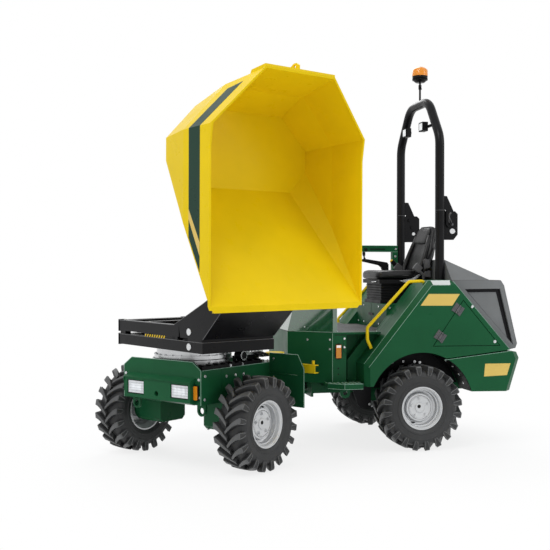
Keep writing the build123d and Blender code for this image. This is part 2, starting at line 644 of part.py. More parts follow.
def cylinder_rod(length, inside, rod_radius, eye_radius, eye_width):
    """Rod along -X from its eye."""
    rod = bar((-length + inside, 0, 0), (-eye_radius * 0.6, 0, 0), rod_radius)
    eye = Rot(90, 0, 0) * Cylinder(eye_radius, eye_width)
    return fused([rod, eye])


TIP_BARREL, TIP_ROD_IN = 560, 345
STEER_BARREL, STEER_ROD_IN = 350, 75


def tip_frames():
    (bx, bz), (ex, ez) = tip_ends()
    lift = -degrees(atan2(ez - bz, ex - bx))
    length = hypot(ex - bx, ez - bz)
    return Location((bx, 0, bz), (0, lift, 0)), Location((ex, 0, ez), (0, lift, 0)), length


def steer_frames():
    """Base and eye of the steering cylinder as it stands, in the rear frame."""
    turn = radians(STEER_EYE_ANGLE + STEER)
    bx, by = STEER_BASE
    ex, ey = STEER_EYE_R * cos(turn), STEER_EYE_R * sin(turn)
    heading = degrees(atan2(ey - by, ex - bx))
    length = hypot(ex - bx, ey - by)
    upright = Location((0, 0, 0), (90, 0, 0))
    base, eye = (Location((x, y, STEER_Z), (0, 0, heading)) * upright for x, y in ((bx, by), (ex, ey)))
    return base, eye, length


# ---- nodes --------------------------------------------------------------------------------
def nodes():
    yield "rear_frame", REAR, rear_frame()
    yield "hinge_ears", REAR, hinge_ears()
    yield "rear_motor_legs", REAR, rear_motor_legs()
    left = flank()
    yield "flank_left", REAR, left
    yield "flank_right", REAR, mirror(left, about=Plane.XZ)
    yield "counterweight", REAR, counterweight()
    yield "battery_block", REAR, battery_block()
    yield "front_box", REAR, front_box()
    yield "footplate", REAR, footplate()
    yield "side_markers", REAR, side_markers()
    yield "dash_shield", REAR, dash_shield()
    yield "dashboard", REAR, dashboard()
    rise = Vector(*COLUMN_TOP) - Vector(*COLUMN_FOOT)
    tilt = Plane(origin=Vector(*COLUMN_TOP) + rise.normalized() * 30, z_dir=rise).location
    yield "steering_wheel", REAR * tilt, steering_wheel()
    yield "steps", REAR, steps()
    yield "seat_box", REAR, seat_box()
    yield "seat_base", REAR, seat_base()
    yield "seat_cushion", REAR, seat_cushion()
    yield "seat_back", REAR, seat_back()
    yield "handrails", REAR, handrails(left)
    yield "guard_bar", REAR, guard_bar()
    yield "control_pod", REAR, control_pod()
    yield "hood", REAR, hood()
    yield "door_left", REAR, service_door()
    yield "door_right", REAR, mirror(service_door(), about=Plane.XZ)
    yield "hoop_posts", REAR, hoop_posts()
    yield "hoop", REAR, hoop()
    yield "beacon_lens", REAR, beacon_lens()
    yield "work_lights", REAR, work_lights()
    yield "knuckle", FRONT, knuckle()
    yield "front_frame", FRONT, front_frame()
    yield "front_motor_legs", FRONT, front_motor_legs()
    yield "light_box", FRONT, light_box()
    yield "headlights", FRONT, headlights()
    yield "front_markers", FRONT, front_markers()
    yield "front_mudguards", FRONT, front_mudguards()
    yield "slew_ring", FRONT, slew_ring()
    yield "slew_drive", FRONT, slew_drive()
    yield "slew_valve", FRONT, slew_valve()
    yield "cable_channel", FRONT, cable_channel()
    yield "lock_bar", FRONT, lock_bar()
    yield "slew_race", SLEW, slew_race()
    yield "swivel_lower_frame", SLEW, swivel_lower_frame()
    yield "swivel_upper_frame", SLEW, swivel_upper_frame()
    yield "tip_wedge", SLEW, tip_wedge()
    yield "skip", TIPPED, skip()
    yield "skip_underframe", TIPPED, skip_underframe()
    yield "lifting_ear", TIPPED, lifting_ear()
    base, eye, length = tip_frames()
    yield "tip_barrel", SLEW * base, cylinder_barrel(TIP_BARREL, 38, 22, 56)
    yield "tip_rod", SLEW * eye, cylinder_rod(length, TIP_ROD_IN, 22, 34, 56)
    base, eye, length = steer_frames()
    yield "steer_barrel", REAR * base, cylinder_barrel(STEER_BARREL, 32, 18, 30)
    yield "steer_rod", REAR * eye, cylinder_rod(length, STEER_ROD_IN, 18, 26, 30)
    rubber, steel = tyre(), rim()
    for place, frame, x in (("front", FRONT, FRONT_AXLE_X), ("rear", REAR, REAR_AXLE_X)):
        for side, way in (("left", 1), ("right", -1)):
            at = frame * Location((x, way * HALF_TRACK, TYRE_R))
            for piece, shape in (("tyre", rubber), ("rim", steel)):
                yield f"{piece}_{place}_{side}", at, shape if way > 0 else mirror(shape, about=Plane.XZ)


def main():
    os.makedirs("parts", exist_ok=True)
    for name, frame, shape in nodes():
        solids = [s for piece in (shape if isinstance(shape, list) else [shape]) for s in piece.solids()]
        moved = [frame * s for s in solids]
        export_step(moved[0] if len(moved) == 1 else Compound(children=moved), f"parts/{name}.step")


main()
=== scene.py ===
"""Looks of the swivel-skip site dumper, in metres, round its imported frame."""
import json
from math import atan2, cos, pi, radians, sin, sqrt

import bmesh
import bpy
from mathutils import Matrix, Vector


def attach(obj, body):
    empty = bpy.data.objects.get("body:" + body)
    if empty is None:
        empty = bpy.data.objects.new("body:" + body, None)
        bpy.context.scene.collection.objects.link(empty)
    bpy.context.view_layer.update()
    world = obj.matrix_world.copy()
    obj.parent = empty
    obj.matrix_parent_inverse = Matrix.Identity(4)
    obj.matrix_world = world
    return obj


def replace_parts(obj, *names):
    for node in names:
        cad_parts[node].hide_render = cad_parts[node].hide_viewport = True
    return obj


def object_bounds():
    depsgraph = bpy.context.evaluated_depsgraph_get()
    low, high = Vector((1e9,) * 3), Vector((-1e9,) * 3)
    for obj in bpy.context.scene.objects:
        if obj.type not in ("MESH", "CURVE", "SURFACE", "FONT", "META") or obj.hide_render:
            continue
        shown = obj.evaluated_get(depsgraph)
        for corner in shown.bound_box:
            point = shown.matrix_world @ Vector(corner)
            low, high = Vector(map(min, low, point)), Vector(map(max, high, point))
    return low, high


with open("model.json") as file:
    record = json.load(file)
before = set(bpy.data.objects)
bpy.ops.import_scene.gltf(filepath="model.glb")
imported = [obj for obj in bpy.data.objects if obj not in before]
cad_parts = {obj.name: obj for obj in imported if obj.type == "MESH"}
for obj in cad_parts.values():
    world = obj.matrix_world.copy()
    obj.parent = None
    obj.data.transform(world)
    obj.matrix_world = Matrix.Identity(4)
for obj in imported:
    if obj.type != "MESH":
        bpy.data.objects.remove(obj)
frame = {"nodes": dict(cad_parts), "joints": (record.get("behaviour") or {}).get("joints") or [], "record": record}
CAD_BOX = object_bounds()
NODES = frame["nodes"]
JOINTS = {joint["name"]: joint for joint in frame["joints"]}


# ---- frames of the machine ----
def joint_at(name):
    return Vector(JOINTS[name]["pos_m"])


def turned(angle, axis):
    return Matrix.Rotation(angle, 4, axis)


PIVOT = joint_at("steer")
FORWARD = Vector(JOINTS["oscillation"]["axis"])
SKIP_LEFT = Vector(JOINTS["tip"]["axis"])
REAR = Matrix.Translation((PIVOT.x, PIVOT.y, 0))
FRONT = REAR @ turned(atan2(FORWARD.y, FORWARD.x), "Z")
SLEW_AT = joint_at("swivel")
SLEW = Matrix.Translation((SLEW_AT.x, SLEW_AT.y, 0)) @ turned(atan2(-SKIP_LEFT.x, SKIP_LEFT.y), "Z")
TIP_AT = SLEW.inverted() @ joint_at("tip")
TIPPED = SLEW @ Matrix.Translation(TIP_AT) @ turned(radians(-JOINTS["tip"]["range_deg"][0]), "Y")
PLACES = {"front_chassis": FRONT, "swivel": SLEW, "skip": TIPPED}  # every other body: REAR


# ---- camera ----
def make_camera():
    place = Vector((1.80918, 7.92614, 1.54242))  # from the articulation pivot
    heading, pitch = radians(256.915), radians(-0.650)
    data = bpy.data.cameras.new("camera")
    data.sensor_width = 36
    data.lens = 60.785
    data.clip_end = 200
    camera = bpy.data.objects.new("camera", data)
    camera.location = REAR @ place
    camera.rotation_euler = (pi / 2 + pitch, 0, heading - pi / 2)
    bpy.context.scene.collection.objects.link(camera)
    bpy.context.scene.camera = camera


# ---- materials ----
SURFACES = {  # slot: colour, roughness, gloss, tone change, grain height (m), grain size (1/m), metal
    "body_green": ((0.010, 0.086, 0.033), 0.32, 0.10, 0.10, 0.00025),
    "skip_yellow": ((0.79, 0.560, 0.005), 0.30, 0.08, 0.05, 0.00025),
    "rail_yellow": ((0.79, 0.57, 0.010), 0.32, 0.12, 0.05, 0.0002),
    "frame_black": ((0.0065, 0.0065, 0.0075), 0.30, 0.13, 0.25, 0.0003),
    "deck_black": ((0.030, 0.031, 0.032), 0.5, 0.2, 0.3, 0.0006, 260),
    "hood_grey": ((0.1715, 0.1778, 0.1803), 0.55, 0.15, 0.12, 0.0006, 700),
    "rim_silver": ((0.62, 0.63, 0.64), 0.36, 0.4, 0.06, 0.0002, 420, 0.45),
    "tyre_black": ((0.0319, 0.03263, 0.03335), 0.5, 0.35, 0.35, 0.0005, 300),
    "seat_black": ((0.008, 0.008, 0.009), 0.38, 0.32, 0.2, 0.0007, 900),
    "trim_black": ((0.007, 0.007, 0.008), 0.40, 0.12, 0.2, 0.0004, 600),
    "machined_steel": ((0.60, 0.61, 0.62), 0.28, 0.5, 0.12, 0.0002, 500, 0.9),
    "battery_grey": ((0.08, 0.08, 0.09), 0.5, 0.2, 0.1, 0.0003, 400),
    "stripe_green": ((0.010, 0.040, 0.024), 0.30, 0.12, 0.06),
    "gold_film": ((0.70, 0.50, 0.13), 0.35, 0.15, 0.04),
    "hazard_yellow": ((0.75, 0.50, 0.02), 0.4, 0.15, 0.05),
    "bright_steel": ((0.66, 0.67, 0.68), 0.26, 0.5, 0.10, 0.0001, 500, 0.8),
    # painted reflection: near-white film for the sky reflected on the flanks' top chamfers; also the pale colour
    # of the slew pipes
    "pale_reflection": ((0.62, 0.66, 0.65), 0.35, 0.3, 0.05),
    # lug tops and shoulder edges: partly wear, partly painted highlight
    "tyre_wear_and_highlight": ((0.105, 0.107, 0.108), 0.45, 0.4, 0.4, 0.0005, 300),
    "lamp_rib": ((0.45, 0.46, 0.48), 0.3, 0.4, 0.1),
    "green_gloss": ((0.012, 0.092, 0.038), 0.22, 0.5, 0.10),
    # pale rib grey: partly the ribs' own colour, partly a painted reflection of the sky on the footplate
    "deck_rib": ((0.20, 0.205, 0.21), 0.45, 0.3, 0.15, 0.0002, 300),
    # painted highlight: lighter green for thin beads along the green body's edges, and for the step grip rings
    "edge_highlight_green": ((0.24, 0.40, 0.31), 0.30, 0.3, 0.15),
    # grey of hinges, dials, belt and clips, and painted highlight for thin beads along dark edges
    "grey_trim_and_highlight": ((0.10, 0.10, 0.105), 0.30, 0.4, 0.15),
}
# Finishes that differ from their slot's own: (slot, material).
BRIGHT = ("machined_steel", "bright_steel")
# green body with lighter beads that paint highlights on its edges
GREEN_HIGHLIGHT = ("body_green", "edge_highlight_green")
# grey trim, and beads that paint highlights on dark edges
GREY_TRIM_AND_HIGHLIGHT = ("trim_black", "grey_trim_and_highlight")


def fill(node, **inputs):
    for name, value in inputs.items():
        node.inputs[name.replace("_", " ")].default_value = value
    return node


def add_node(tree, kind, **inputs):
    return fill(tree.nodes.new(kind), **inputs)


def join(tree, *rows):
    """Joins nodes, from rows of (node, output, node, input)."""
    for source, output, target, entry in rows:
        tree.links.new(source.outputs[output], target.inputs[entry])


def new_material(name):
    material = bpy.data.materials.new(name)
    material.use_nodes = True
    return material, material.node_tree, material.node_tree.nodes["Principled BSDF"]


def painted(slot, colour, rough, gloss, tone, height=0.0001, grain=420, metal=0.0):
    """Procedural finish of one slot: slow tone changes, and a fine grain as bump."""
    material, tree, shader = new_material(slot)
    fill(shader, Metallic=metal, Specular_IOR_Level=gloss)
    where = add_node(tree, "ShaderNodeTexCoord")
    cloud = add_node(tree, "ShaderNodeTexNoise", Scale=2.2, Detail=3.0, Roughness=0.6)
    ramp = add_node(tree, "ShaderNodeValToRGB")
    for stop, factor, position in zip(ramp.color_ramp.elements, (1 - tone, 1 + tone), (0.3, 0.7)):
        stop.color = tuple(c * factor for c in colour) + (1,)
        stop.position = position
    fine = add_node(tree, "ShaderNodeTexNoise", Scale=float(grain), Detail=2.0, Roughness=0.5)
    smear = add_node(tree, "ShaderNodeTexNoise", Scale=9.0, Detail=4.0, Roughness=0.6)
    spread = add_node(tree, "ShaderNodeMapRange", From_Min=0.3, From_Max=0.7, To_Min=rough - 0.05,
                      To_Max=rough + 0.07)
    bump = add_node(tree, "ShaderNodeBump", Strength=0.5, Distance=height)
    join(tree, (where, "Object", cloud, "Vector"), (cloud, "Fac", ramp, "Fac"),
         (ramp, "Color", shader, "Base Color"), (where, "Object", smear, "Vector"),
         (smear, "Fac", spread, "Value"), (spread, "Result", shader, "Roughness"),
         (where, "Object", fine, "Vector"), (fine, "Fac", bump, "Height"),
         (bump, "Normal", shader, "Normal"))
    return material


def clear_lens(slot, colour, glow):
    """Ribbed plastic or glass of a lamp."""
    material, tree, shader = new_material(slot)
    fill(shader, Base_Color=colour + (1,), Roughness=0.12, Transmission_Weight=0.25,
         Emission_Color=colour + (1,), Emission_Strength=glow)
    where = add_node(tree, "ShaderNodeTexCoord")
    ribs = add_node(tree, "ShaderNodeTexWave", Scale=40.0)
    ribs.bands_direction = "Z"
    bump = add_node(tree, "ShaderNodeBump", Strength=0.4, Distance=0.001)
    join(tree, (where, "Object", ribs, "Vector"), (ribs, "Fac", bump, "Height"),
         (bump, "Normal", shader, "Normal"))
    return material


MATERIALS = {slot: painted(slot, *row) for slot, row in SURFACES.items()}
MATERIALS["amber"] = clear_lens("amber", (0.75, 0.27, 0.015), 0.12)
MATERIALS["lamp_clear"] = clear_lens("lamp_clear", (0.78, 0.80, 0.82), 0.36)


def wear(node, material):
    """Gives a CAD node one material."""
    node.data.materials.clear()
    node.data.materials.append(MATERIALS[material])


def dress_nodes():
    """Gives each CAD node the finish of its slot, and the shield's leaning sheets their lacquer."""
    slots = {row["node"]: row["material_slot"] for row in frame["record"]["subparts"]}
    for name, node in NODES.items():
        wear(node, slots[name])
    shader = MATERIALS["green_gloss"].node_tree.nodes["Principled BSDF"]
    fill(shader, Coat_Weight=1.0, Coat_IOR=2.1, Coat_Roughness=0.1)
    wear(NODES["dash_shield"], "green_gloss")


# ---- shape helpers: millimetres, in one of the machine's frames ----
MM = Matrix.Scale(0.001, 4)
PLACE = {"x": lambda a, b, c: (c, a, b), "y": lambda a, b, c: (a, c, b), "z": lambda a, b, c: (a, b, c)}


def around(count):
    """Cosine and sine of equal steps round a circle."""
    return [(cos(2 * pi * i / count), sin(2 * pi * i / count)) for i in range(count)]


def squared(value, power):
    """Pushes a circle's coordinate out towards a square."""
    return abs(value)**power * (1 if value > 0 else -1)


def arc(centre, radius, start, end, count):
    """Points of an arc in a plane, from angles in degrees."""
    steps = [radians(start + (end - start) * i / (count - 1)) for i in range(count)]
    return [(centre[0] + radius * cos(a), centre[1] + radius * sin(a)) for a in steps]


class Shape:
    """Collects solids in one mesh and turns it into a piece that rides on a body."""

    def __init__(self, side=1):
        self.mesh = bmesh.new()
        self.side = side  # -1 while the solids go on the machine's right

    def spot(self, point):
        x, y, z = point
        return Vector((x, self.side * y, z))

    def hull(self, rings):
        """Skin over rings of equal length, with caps. Its points aren't mirrored."""
        rows = [[self.mesh.verts.new(point) for point in ring] for ring in rings]
        count = len(rows[0])
        faces = []
        for low, high in zip(rows, rows[1:]):
            for i in range(count):
                j = (i + 1) % count
                faces.append(self.mesh.faces.new((low[i], low[j], high[j], high[i])))
        faces.append(self.mesh.faces.new(list(reversed(rows[0]))))
        faces.append(self.mesh.faces.new(rows[-1]))
        return faces

    def soften(self, faces, width):
        """Rounds the sharp edges of the given faces."""
        bmesh.ops.recalc_face_normals(self.mesh, faces=faces)
        edges = {edge for face in faces for edge in face.edges}
        sharp = [e for e in edges if len(e.link_faces) == 2 and e.calc_face_angle(0) > 0.5]
        bmesh.ops.bevel(self.mesh, geom=sharp, offset=width, segments=2, affect="EDGES", clamp_overlap=True)

    def prism(self, axis, low, high, points, soft=0.0):
        place = PLACE[axis]
        faces = self.hull([[self.spot(place(a, b, level)) for a, b in points] for level in (low, high)])
        if soft:
            self.soften(faces, soft)
        return self

    def box(self, x0, x1, y0, y1, z0, z1, soft=0.0):
        return self.prism("z", z0, z1, [(x0, y0), (x1, y0), (x1, y1), (x0, y1)], soft)

    def rod(self, start, end, radius, end_radius=None, sides=20, soft=0.0):
        start, end = self.spot(start), self.spot(end)
        turn = (end - start).to_track_quat("Z", "Y")
        rings = []
        for at, r in ((start, radius), (end, radius if end_radius is None else end_radius)):
            rings.append([at + turn @ Vector((r * c, r * s, 0)) for c, s in around(sides)])
        faces = self.hull(rings)
        if soft:
            self.soften(faces[-2:], soft)
        return self

    def knob(self, x, z, y0, y1, radius, sides=16, soft=1.0):
        """Round part that stands out sideways."""
        return self.rod((x, y0, z), (x, y1, z), radius, None, sides, soft)

    def bolt(self, at, along, radius=9.0, height=7.0):
        """Hexagon head on a round washer."""
        at, along = Vector(at), Vector(along).normalized()
        self.rod(at, at + along * height * 0.3, radius * 1.35, sides=14)
        self.rod(at, at + along * height, radius, sides=6, soft=radius * 0.12)

    def bolts(self, points, along, radius=9.0, height=7.0):
        for point in points:
            self.bolt(point, along, radius, height)

    def side_bolts(self, y, points, radius=9.0, height=7.0):
        """Bolts that look outward from the upright plane at y, at (x, z) points."""
        self.bolts([(x, y, z) for x, z in points], (0, 1, 0), radius, height)

    def tube(self, points, radius, bend=30.0, sides=8):
        """Round tube along straight runs joined by arcs."""
        path = rounded([self.spot(p) for p in points], bend)
        rings, up = [], None
        for i, at in enumerate(path):
            run = (path[min(i + 1, len(path) - 1)] - path[max(i - 1, 0)]).normalized()
            if up is None:
                up = run.orthogonal().normalized()
            up = (up - run * up.dot(run)).normalized()
            across = run.cross(up)
            rings.append([at + (up * c + across * s) * radius for c, s in around(sides)])
        self.hull(rings)
        return self

    def bead(self, y, points, radius, bend=30.0):
        """Thin tube along (x, z) points in the upright plane at y."""
        return self.tube([(x, y, z) for x, z in points], radius, bend)

    def turned(self, section, at=(0, 0, 0), axis="y", sides=32):
        """Closed (along, radius) section carried round an axis."""
        at, count = self.spot(at), len(section)
        rows = [[self.mesh.verts.new(at + Vector(PLACE[axis](r * c, r * s, w))) for w, r in section]
                for c, s in around(sides)]
        for i in range(sides):
            low, high = rows[i], rows[(i + 1) % sides]
            for k in range(count):
                self.mesh.faces.new((low[k], low[(k + 1) % count], high[(k + 1) % count], high[k]))
        return self

    def piece(self, name, finish, body="rear_chassis", smooth=0.6, place=None):
        """Finished object, given in its body's frame. A finish is a slot or (slot, material); the slot of a pair
        is not used.
        """
        slot, material = (finish, finish) if isinstance(finish, str) else finish
        bmesh.ops.recalc_face_normals(self.mesh, faces=self.mesh.faces)
        data = bpy.data.meshes.new(name)
        self.mesh.to_mesh(data)
        self.mesh.free()
        data.transform((PLACES.get(body, REAR) if place is None else place) @ MM)
        data.materials.append(MATERIALS[material])
        piece = bpy.data.objects.new(name, data)
        bpy.context.scene.collection.objects.link(piece)
        data.shade_smooth() if smooth >= pi else data.set_sharp_from_angle(angle=smooth)
        for face in data.polygons:
            face.use_smooth = True
        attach(piece, body)
        return piece


def rounded(points, bend, steps=7):
    """Points of a polyline whose corners are arcs of the radius `bend`."""
    path = [points[0]]
    for before, corner, after in zip(points, points[1:], points[2:]):
        into, out = (before - corner).normalized(), (after - corner).normalized()
        half = into.angle(out) / 2
        reach = min(bend / max(0.05, sin(half) / cos(half)), 0.48 * (before - corner).length,
                    0.48 * (after - corner).length)
        first, last = corner + into * reach, corner + out * reach
        for i in range(steps + 1):
            t = i / steps
            path.append(first * (1 - t)**2 + corner * 2 * t * (1 - t) + last * t**2)
    return path + [points[-1]]


def both_sides(*shapes):
    """Goes round twice: the shapes' solids land on the left, then on the right."""
    for side in (1, -1):
        for shape in shapes:
            shape.side = side
        yield side
    for shape in shapes:
        shape.side = 1


def shapes(count, side=1):
    return [Shape(side) for _ in range(count)]


# ---- wheels ----
TYRE_R, LUG_COUNT = 355, 20
LUG_ARC_R = 340  # radius at which lengths along the tread are measured
WHEELS = [("front_left", 1), ("front_right", -1), ("rear_left", 1), ("rear_right", -1)]
CASING = [(0, 320), (60, 318), (92, 311), (110, 300), (120, 288), (127, 270)]  # (across, radius)
SIDEWALL = [(104, 178.6), (110, 181), (113, 190), (118, 201), (121, 205), (122, 212), (124.5, 214),
            (124.5, 218), (122.5, 220), (125, 236), (126.5, 250), (126.8, 256), (128, 258), (128, 262),
            (126.6, 264), (125.5, 276), (121, 287), (111, 299), (94, 310), (60, 318), (0, 320)]
LUG_STATIONS = [-6, 8, 24, 42, 60, 78, 94, 106, 115, 121, 125, 127.5]
SHOULDER = [(338, 128, 23), (326, 130.5, 22.5), (310, 131.5, 21), (296, 131.5, 19.5),  # radius, across,
            (284, 130.5, 17), (276, 128.5, 13), (271, 125, 7)]  # half length


def wheel_frame(name, side):
    """Frame at the wheel's centre, whose +Y points out along its axle."""
    joint = JOINTS["wheel_" + name + "_roll"]
    axle = Vector(joint["axis"])
    centre = Matrix.Translation(joint["pos_m"]) @ turned(atan2(-axle.x, axle.y), "Z")
    return centre @ Matrix.Scale(side, 4, (0, 1, 0))


def wheel_piece(shape, word, name, side, finish, smooth=0.6):
    piece = shape.piece(word + name, finish, "wheel_" + name, smooth, wheel_frame(name, side))
    if side < 0:
        piece.data.flip_normals()
    return piece


def carcass_radius(across):
    """Outline of the casing between the lugs."""
    for (w0, r0), (w1, r1) in zip(CASING, CASING[1:]):
        if across <= w1:
            return r0 + (r1 - r0) * (across - w0) / (w1 - w0)
    return CASING[-1][1]


def lug_middle(across):
    """How far a lug's middle lies along the tread, steep at the centre and flat at the shoulder."""
    share = (across + 6) / 134
    return 24 - 92 * (1 - (1 - min(share, 1))**1.55)


def tread_point(base, along, across, radius):
    angle = base + along / LUG_ARC_R
    return radius * sin(angle), across, radius * cos(angle)


def lug_top(base, row):
    """Rings across one lug, from the tread's middle to its shoulder."""
    for w in LUG_STATIONS:
        half = 12.5 + 0.085 * max(w, 0)
        crown = TYRE_R - 0.6 - 0.00045 * max(w - 30, 0)**2 - (3 if w > 122 else 0) - (7 if w > 126 else 0)
        foot = carcass_radius(max(w, 0)) - 5
        outline = ((-half - 6, foot), (-half, crown - 4), (-half + 3, crown), (half - 3, crown),
                   (half, crown - 4), (half + 6, foot))
        yield [tread_point(base, lug_middle(w) + offset, row * w, radius) for offset, radius in outline]


def lug_shoulder(base, row):
    """Rings down the sidewall end of one lug."""
    middle = lug_middle(128)
    for radius, w, half in SHOULDER:
        outline = ((-half - 3, 116), (-half, w - 5), (-half + 4, w - 3), (half - 4, w - 3), (half, w - 5),
                   (half + 3, 116))
        yield [tread_point(base, middle + offset, row * across, radius) for offset, across in outline]


def shoulder_edge(base, row, way):
    return [tread_point(base, lug_middle(128) + way * (half - 3), row * (w - 2.6), radius)
            for radius, w, half in SHOULDER]


def tyre(name, side):
    """Traction tyre: casing with sidewall rings and two rows of curved lugs whose tops and shoulder edges are
    lighter, partly wear and partly painted highlight.
    """
    shape = Shape()
    shape.turned(SIDEWALL + [(-w, r) for w, r in reversed(SIDEWALL[:-1])], sides=96)
    worn_and_lit = []
    for row, shift in ((1, 0), (-1, 0.5)):
        for i in range(LUG_COUNT):
            base = 2 * pi * (i + shift) / LUG_COUNT
            faces = shape.hull(list(lug_top(base, row)))
            worn_and_lit += [face for k, face in enumerate(faces[:-2]) if k % 6 in (1, 2, 3)]
            shape.hull(list(lug_shoulder(base, row)))
            before = set(shape.mesh.faces)
            shape.tube(shoulder_edge(base, row, -1) + shoulder_edge(base, row, 1)[::-1], 3.6, 5)
            worn_and_lit += [face for face in shape.mesh.faces if face not in before]
    # lighter lug tops and shoulder edges: partly wear, partly painted highlight
    for face in worn_and_lit:
        face.material_index = 1
    piece = wheel_piece(shape, "tread_", name, side, "tyre_black", 0.75)
    piece.data.materials.append(MATERIALS["tyre_wear_and_highlight"])
    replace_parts(piece, "tyre_" + name)


def wheel_fittings(name, side):
    """Dished disc with its nuts, hub cap and valve of one wheel."""
    disc, nuts, black = shapes(3)
    disc.turned([(23, 100), (23, 36), (56, 37), (56, 52), (56, 88), (53, 91), (53, 94), (56, 97),
                 (56.5, 108), (54, 114), (48, 117), (30, 117)], sides=72)
    disc.turned([(98, 158.5), (101, 160), (105, 163), (106, 167), (102.5, 166), (99, 162)], sides=72)
    disc.turned([(66, 152.5), (67, 147), (71, 147), (73, 154.5)], sides=72)
    disc.turned([(56, 0.5), (56.2, 43), (60, 43), (64, 39), (65, 30), (65, 0.5)], sides=48)
    for i in range(5):
        a = 2 * pi * (i + 0.2) / 5
        x, z = 75 * cos(a), 75 * sin(a)
        nuts.rod((x, 55, z), (x, 58, z), 16, 14.5, sides=18)
        nuts.knob(x, z, 55, 69, 11, 6, 1.5)
        nuts.knob(x, z, 55, 74, 6, 10, 0.8)
    black.knob(10, 10, 64.8, 66, 15, 24, 0.5)
    black.turned([(56.3, 98), (56.8, 98), (56.8, 100), (56.3, 100)], sides=72)
    x, z = (60, -124) if "rear" in name else (22, 138)  # valve stem
    black.tube([(x, 30, z), (x, 58, z * 0.99), (x * 1.02, 84, z * 0.95)], 5, 14, 10)
    black.rod((x * 1.02, 80, z * 0.95), (x * 1.02, 88, z * 0.94), 6.5, sides=12, soft=1)
    wheel_piece(disc, "disc_", name, side, "rim_silver")
    wheel_piece(nuts, "nuts_", name, side, "machined_steel")
    wheel_piece(black, "valve_", name, side, "trim_black")


# ---- skip ----
LIP_RISE, SKIP_HALF = 450, 677
STRIPE_HIGH, STRIPE_LOW = -120, -250
CORNER_TOP, CORNER_BASE = 23, -316  # heights of the upright edge that the stripe crosses


def skip_at(u, v, w):
    return Vector((-u, v, LIP_RISE + w))


def sticker(name, corners, out, material, lift=0.8):
    """Thin film laid on a flat face of the skip."""
    out = out.normalized()
    shape = Shape()
    shape.hull([[c + out * 0.15 for c in corners], [c + out * lift for c in corners]])
    shape.piece(name, ("skip_yellow", material), "skip")


def side_band(name, starts, ends, material, lift=0.8):
    """Part of the stripe on the skip's side, from where its upper and lower edges start and end."""
    corners = ((starts[0], STRIPE_HIGH), (starts[1], STRIPE_LOW), (ends[1], STRIPE_LOW),
               (ends[0], STRIPE_HIGH))
    sticker(name, [skip_at(u, -SKIP_HALF, w) for u, w in corners], Vector((0, -1, 0)), material, lift)


def skip_trim():
    """Green stripe of the skip with its gold bar."""
    top, rear, base = (skip_at(1197, -SKIP_HALF, CORNER_TOP), skip_at(1588, -304, 104),
                       skip_at(1186, -SKIP_HALF, CORNER_BASE))
    shares = [(CORNER_TOP - w) / (CORNER_TOP - CORNER_BASE) for w in (STRIPE_HIGH, STRIPE_LOW)]
    side_band("stripe_side", [1197 - 11 * share for share in shares], (234, 463), "stripe_green")
    side_band("stripe_bar", (431, 654), (340, 585), "gold_film", 1.2)
    run = rear - top
    high, low = (top.lerp(base, share) for share in shares)
    out = run.cross(base - top)
    if out.dot(top - skip_at(900, 0, -250)) < 0:
        out = -out
    sticker("stripe_corner", [high, low, low + run * 0.73, high + run * 0.81], out, "stripe_green")


# ---- swivel frames ----
FRAME_X0, FRAME_X1, FRAME_Y = -590, 610, 330
TIP_PIN_X, TIP_PIN_Z = 750, 1260


def teardrop(x, z, size=26):
    """Round cap drawn out to a point."""
    points = [(x + size * cos(a), z + size * sin(a)) for a in (2 * pi * i / 20 for i in range(3, 18))]
    tip = ((0.95, -0.55), (1.25, -0.1), (0.95, 0.6))
    return points + [(x + size * across, z + size * up) for across, up in tip]


def swivel_trim():
    """Bolts, caps, hoses and hazard film of the swivel frames."""
    steel, ends, hose, film, spacer = shapes(5)
    for i in range(24):
        a = 2 * pi * i / 24
        x, y = 268 * cos(a), 268 * sin(a)
        if abs(x) < FRAME_X1 and abs(y) < FRAME_Y - 65:
            steel.bolt((x, y, 906), (0, 0, 1), 9, 8)
        steel.bolt((295 * cos(a + 0.13), 295 * sin(a + 0.13), 845), (0, 0, 1), 6.5, 6)
    for _ in both_sides(steel, ends, film, spacer):
        for z in (1048, 938):
            steel.prism("y", FRAME_Y, FRAME_Y + 4, teardrop(435, z), 1.0)
        for z0, z1 in ((891, 984), (999, 1096)):
            ends.box(FRAME_X0 - 6, FRAME_X0 + 3, FRAME_Y - 62, FRAME_Y + 5, z0, z1, 3)
        for k in range(9):
            x = -190 + 34 * k
            film.prism("y", FRAME_Y - 1.8, FRAME_Y - 0.6,
                       [(x, 979), (x + 15, 979), (x + 27, 1000), (x + 12, 1000)])
        spacer.box(-90, 240, FRAME_Y - 14, FRAME_Y - 2, 978.5, 1004.5)
    for k, (y, bend) in enumerate(((-60, 120), (-20, 150), (30, 130), (75, 110))):
        hose.tube([(-534, y, 935), (-330, y + 18, 945 + 8 * k), (-120, y - 22, 940), (120, y + 14, 948),
                   (330, y - 10, 938), (554, y - 4, 936)], 11, bend, 10)
    steel.piece("swivel_caps", BRIGHT, "swivel")
    ends.piece("swivel_end_caps", "frame_black", "swivel")
    hose.piece("swivel_hoses", "trim_black", "swivel")
    film.piece("hazard_film", ("frame_black", "hazard_yellow"), "swivel")
    spacer.piece("swivel_packers", "frame_black", "swivel")


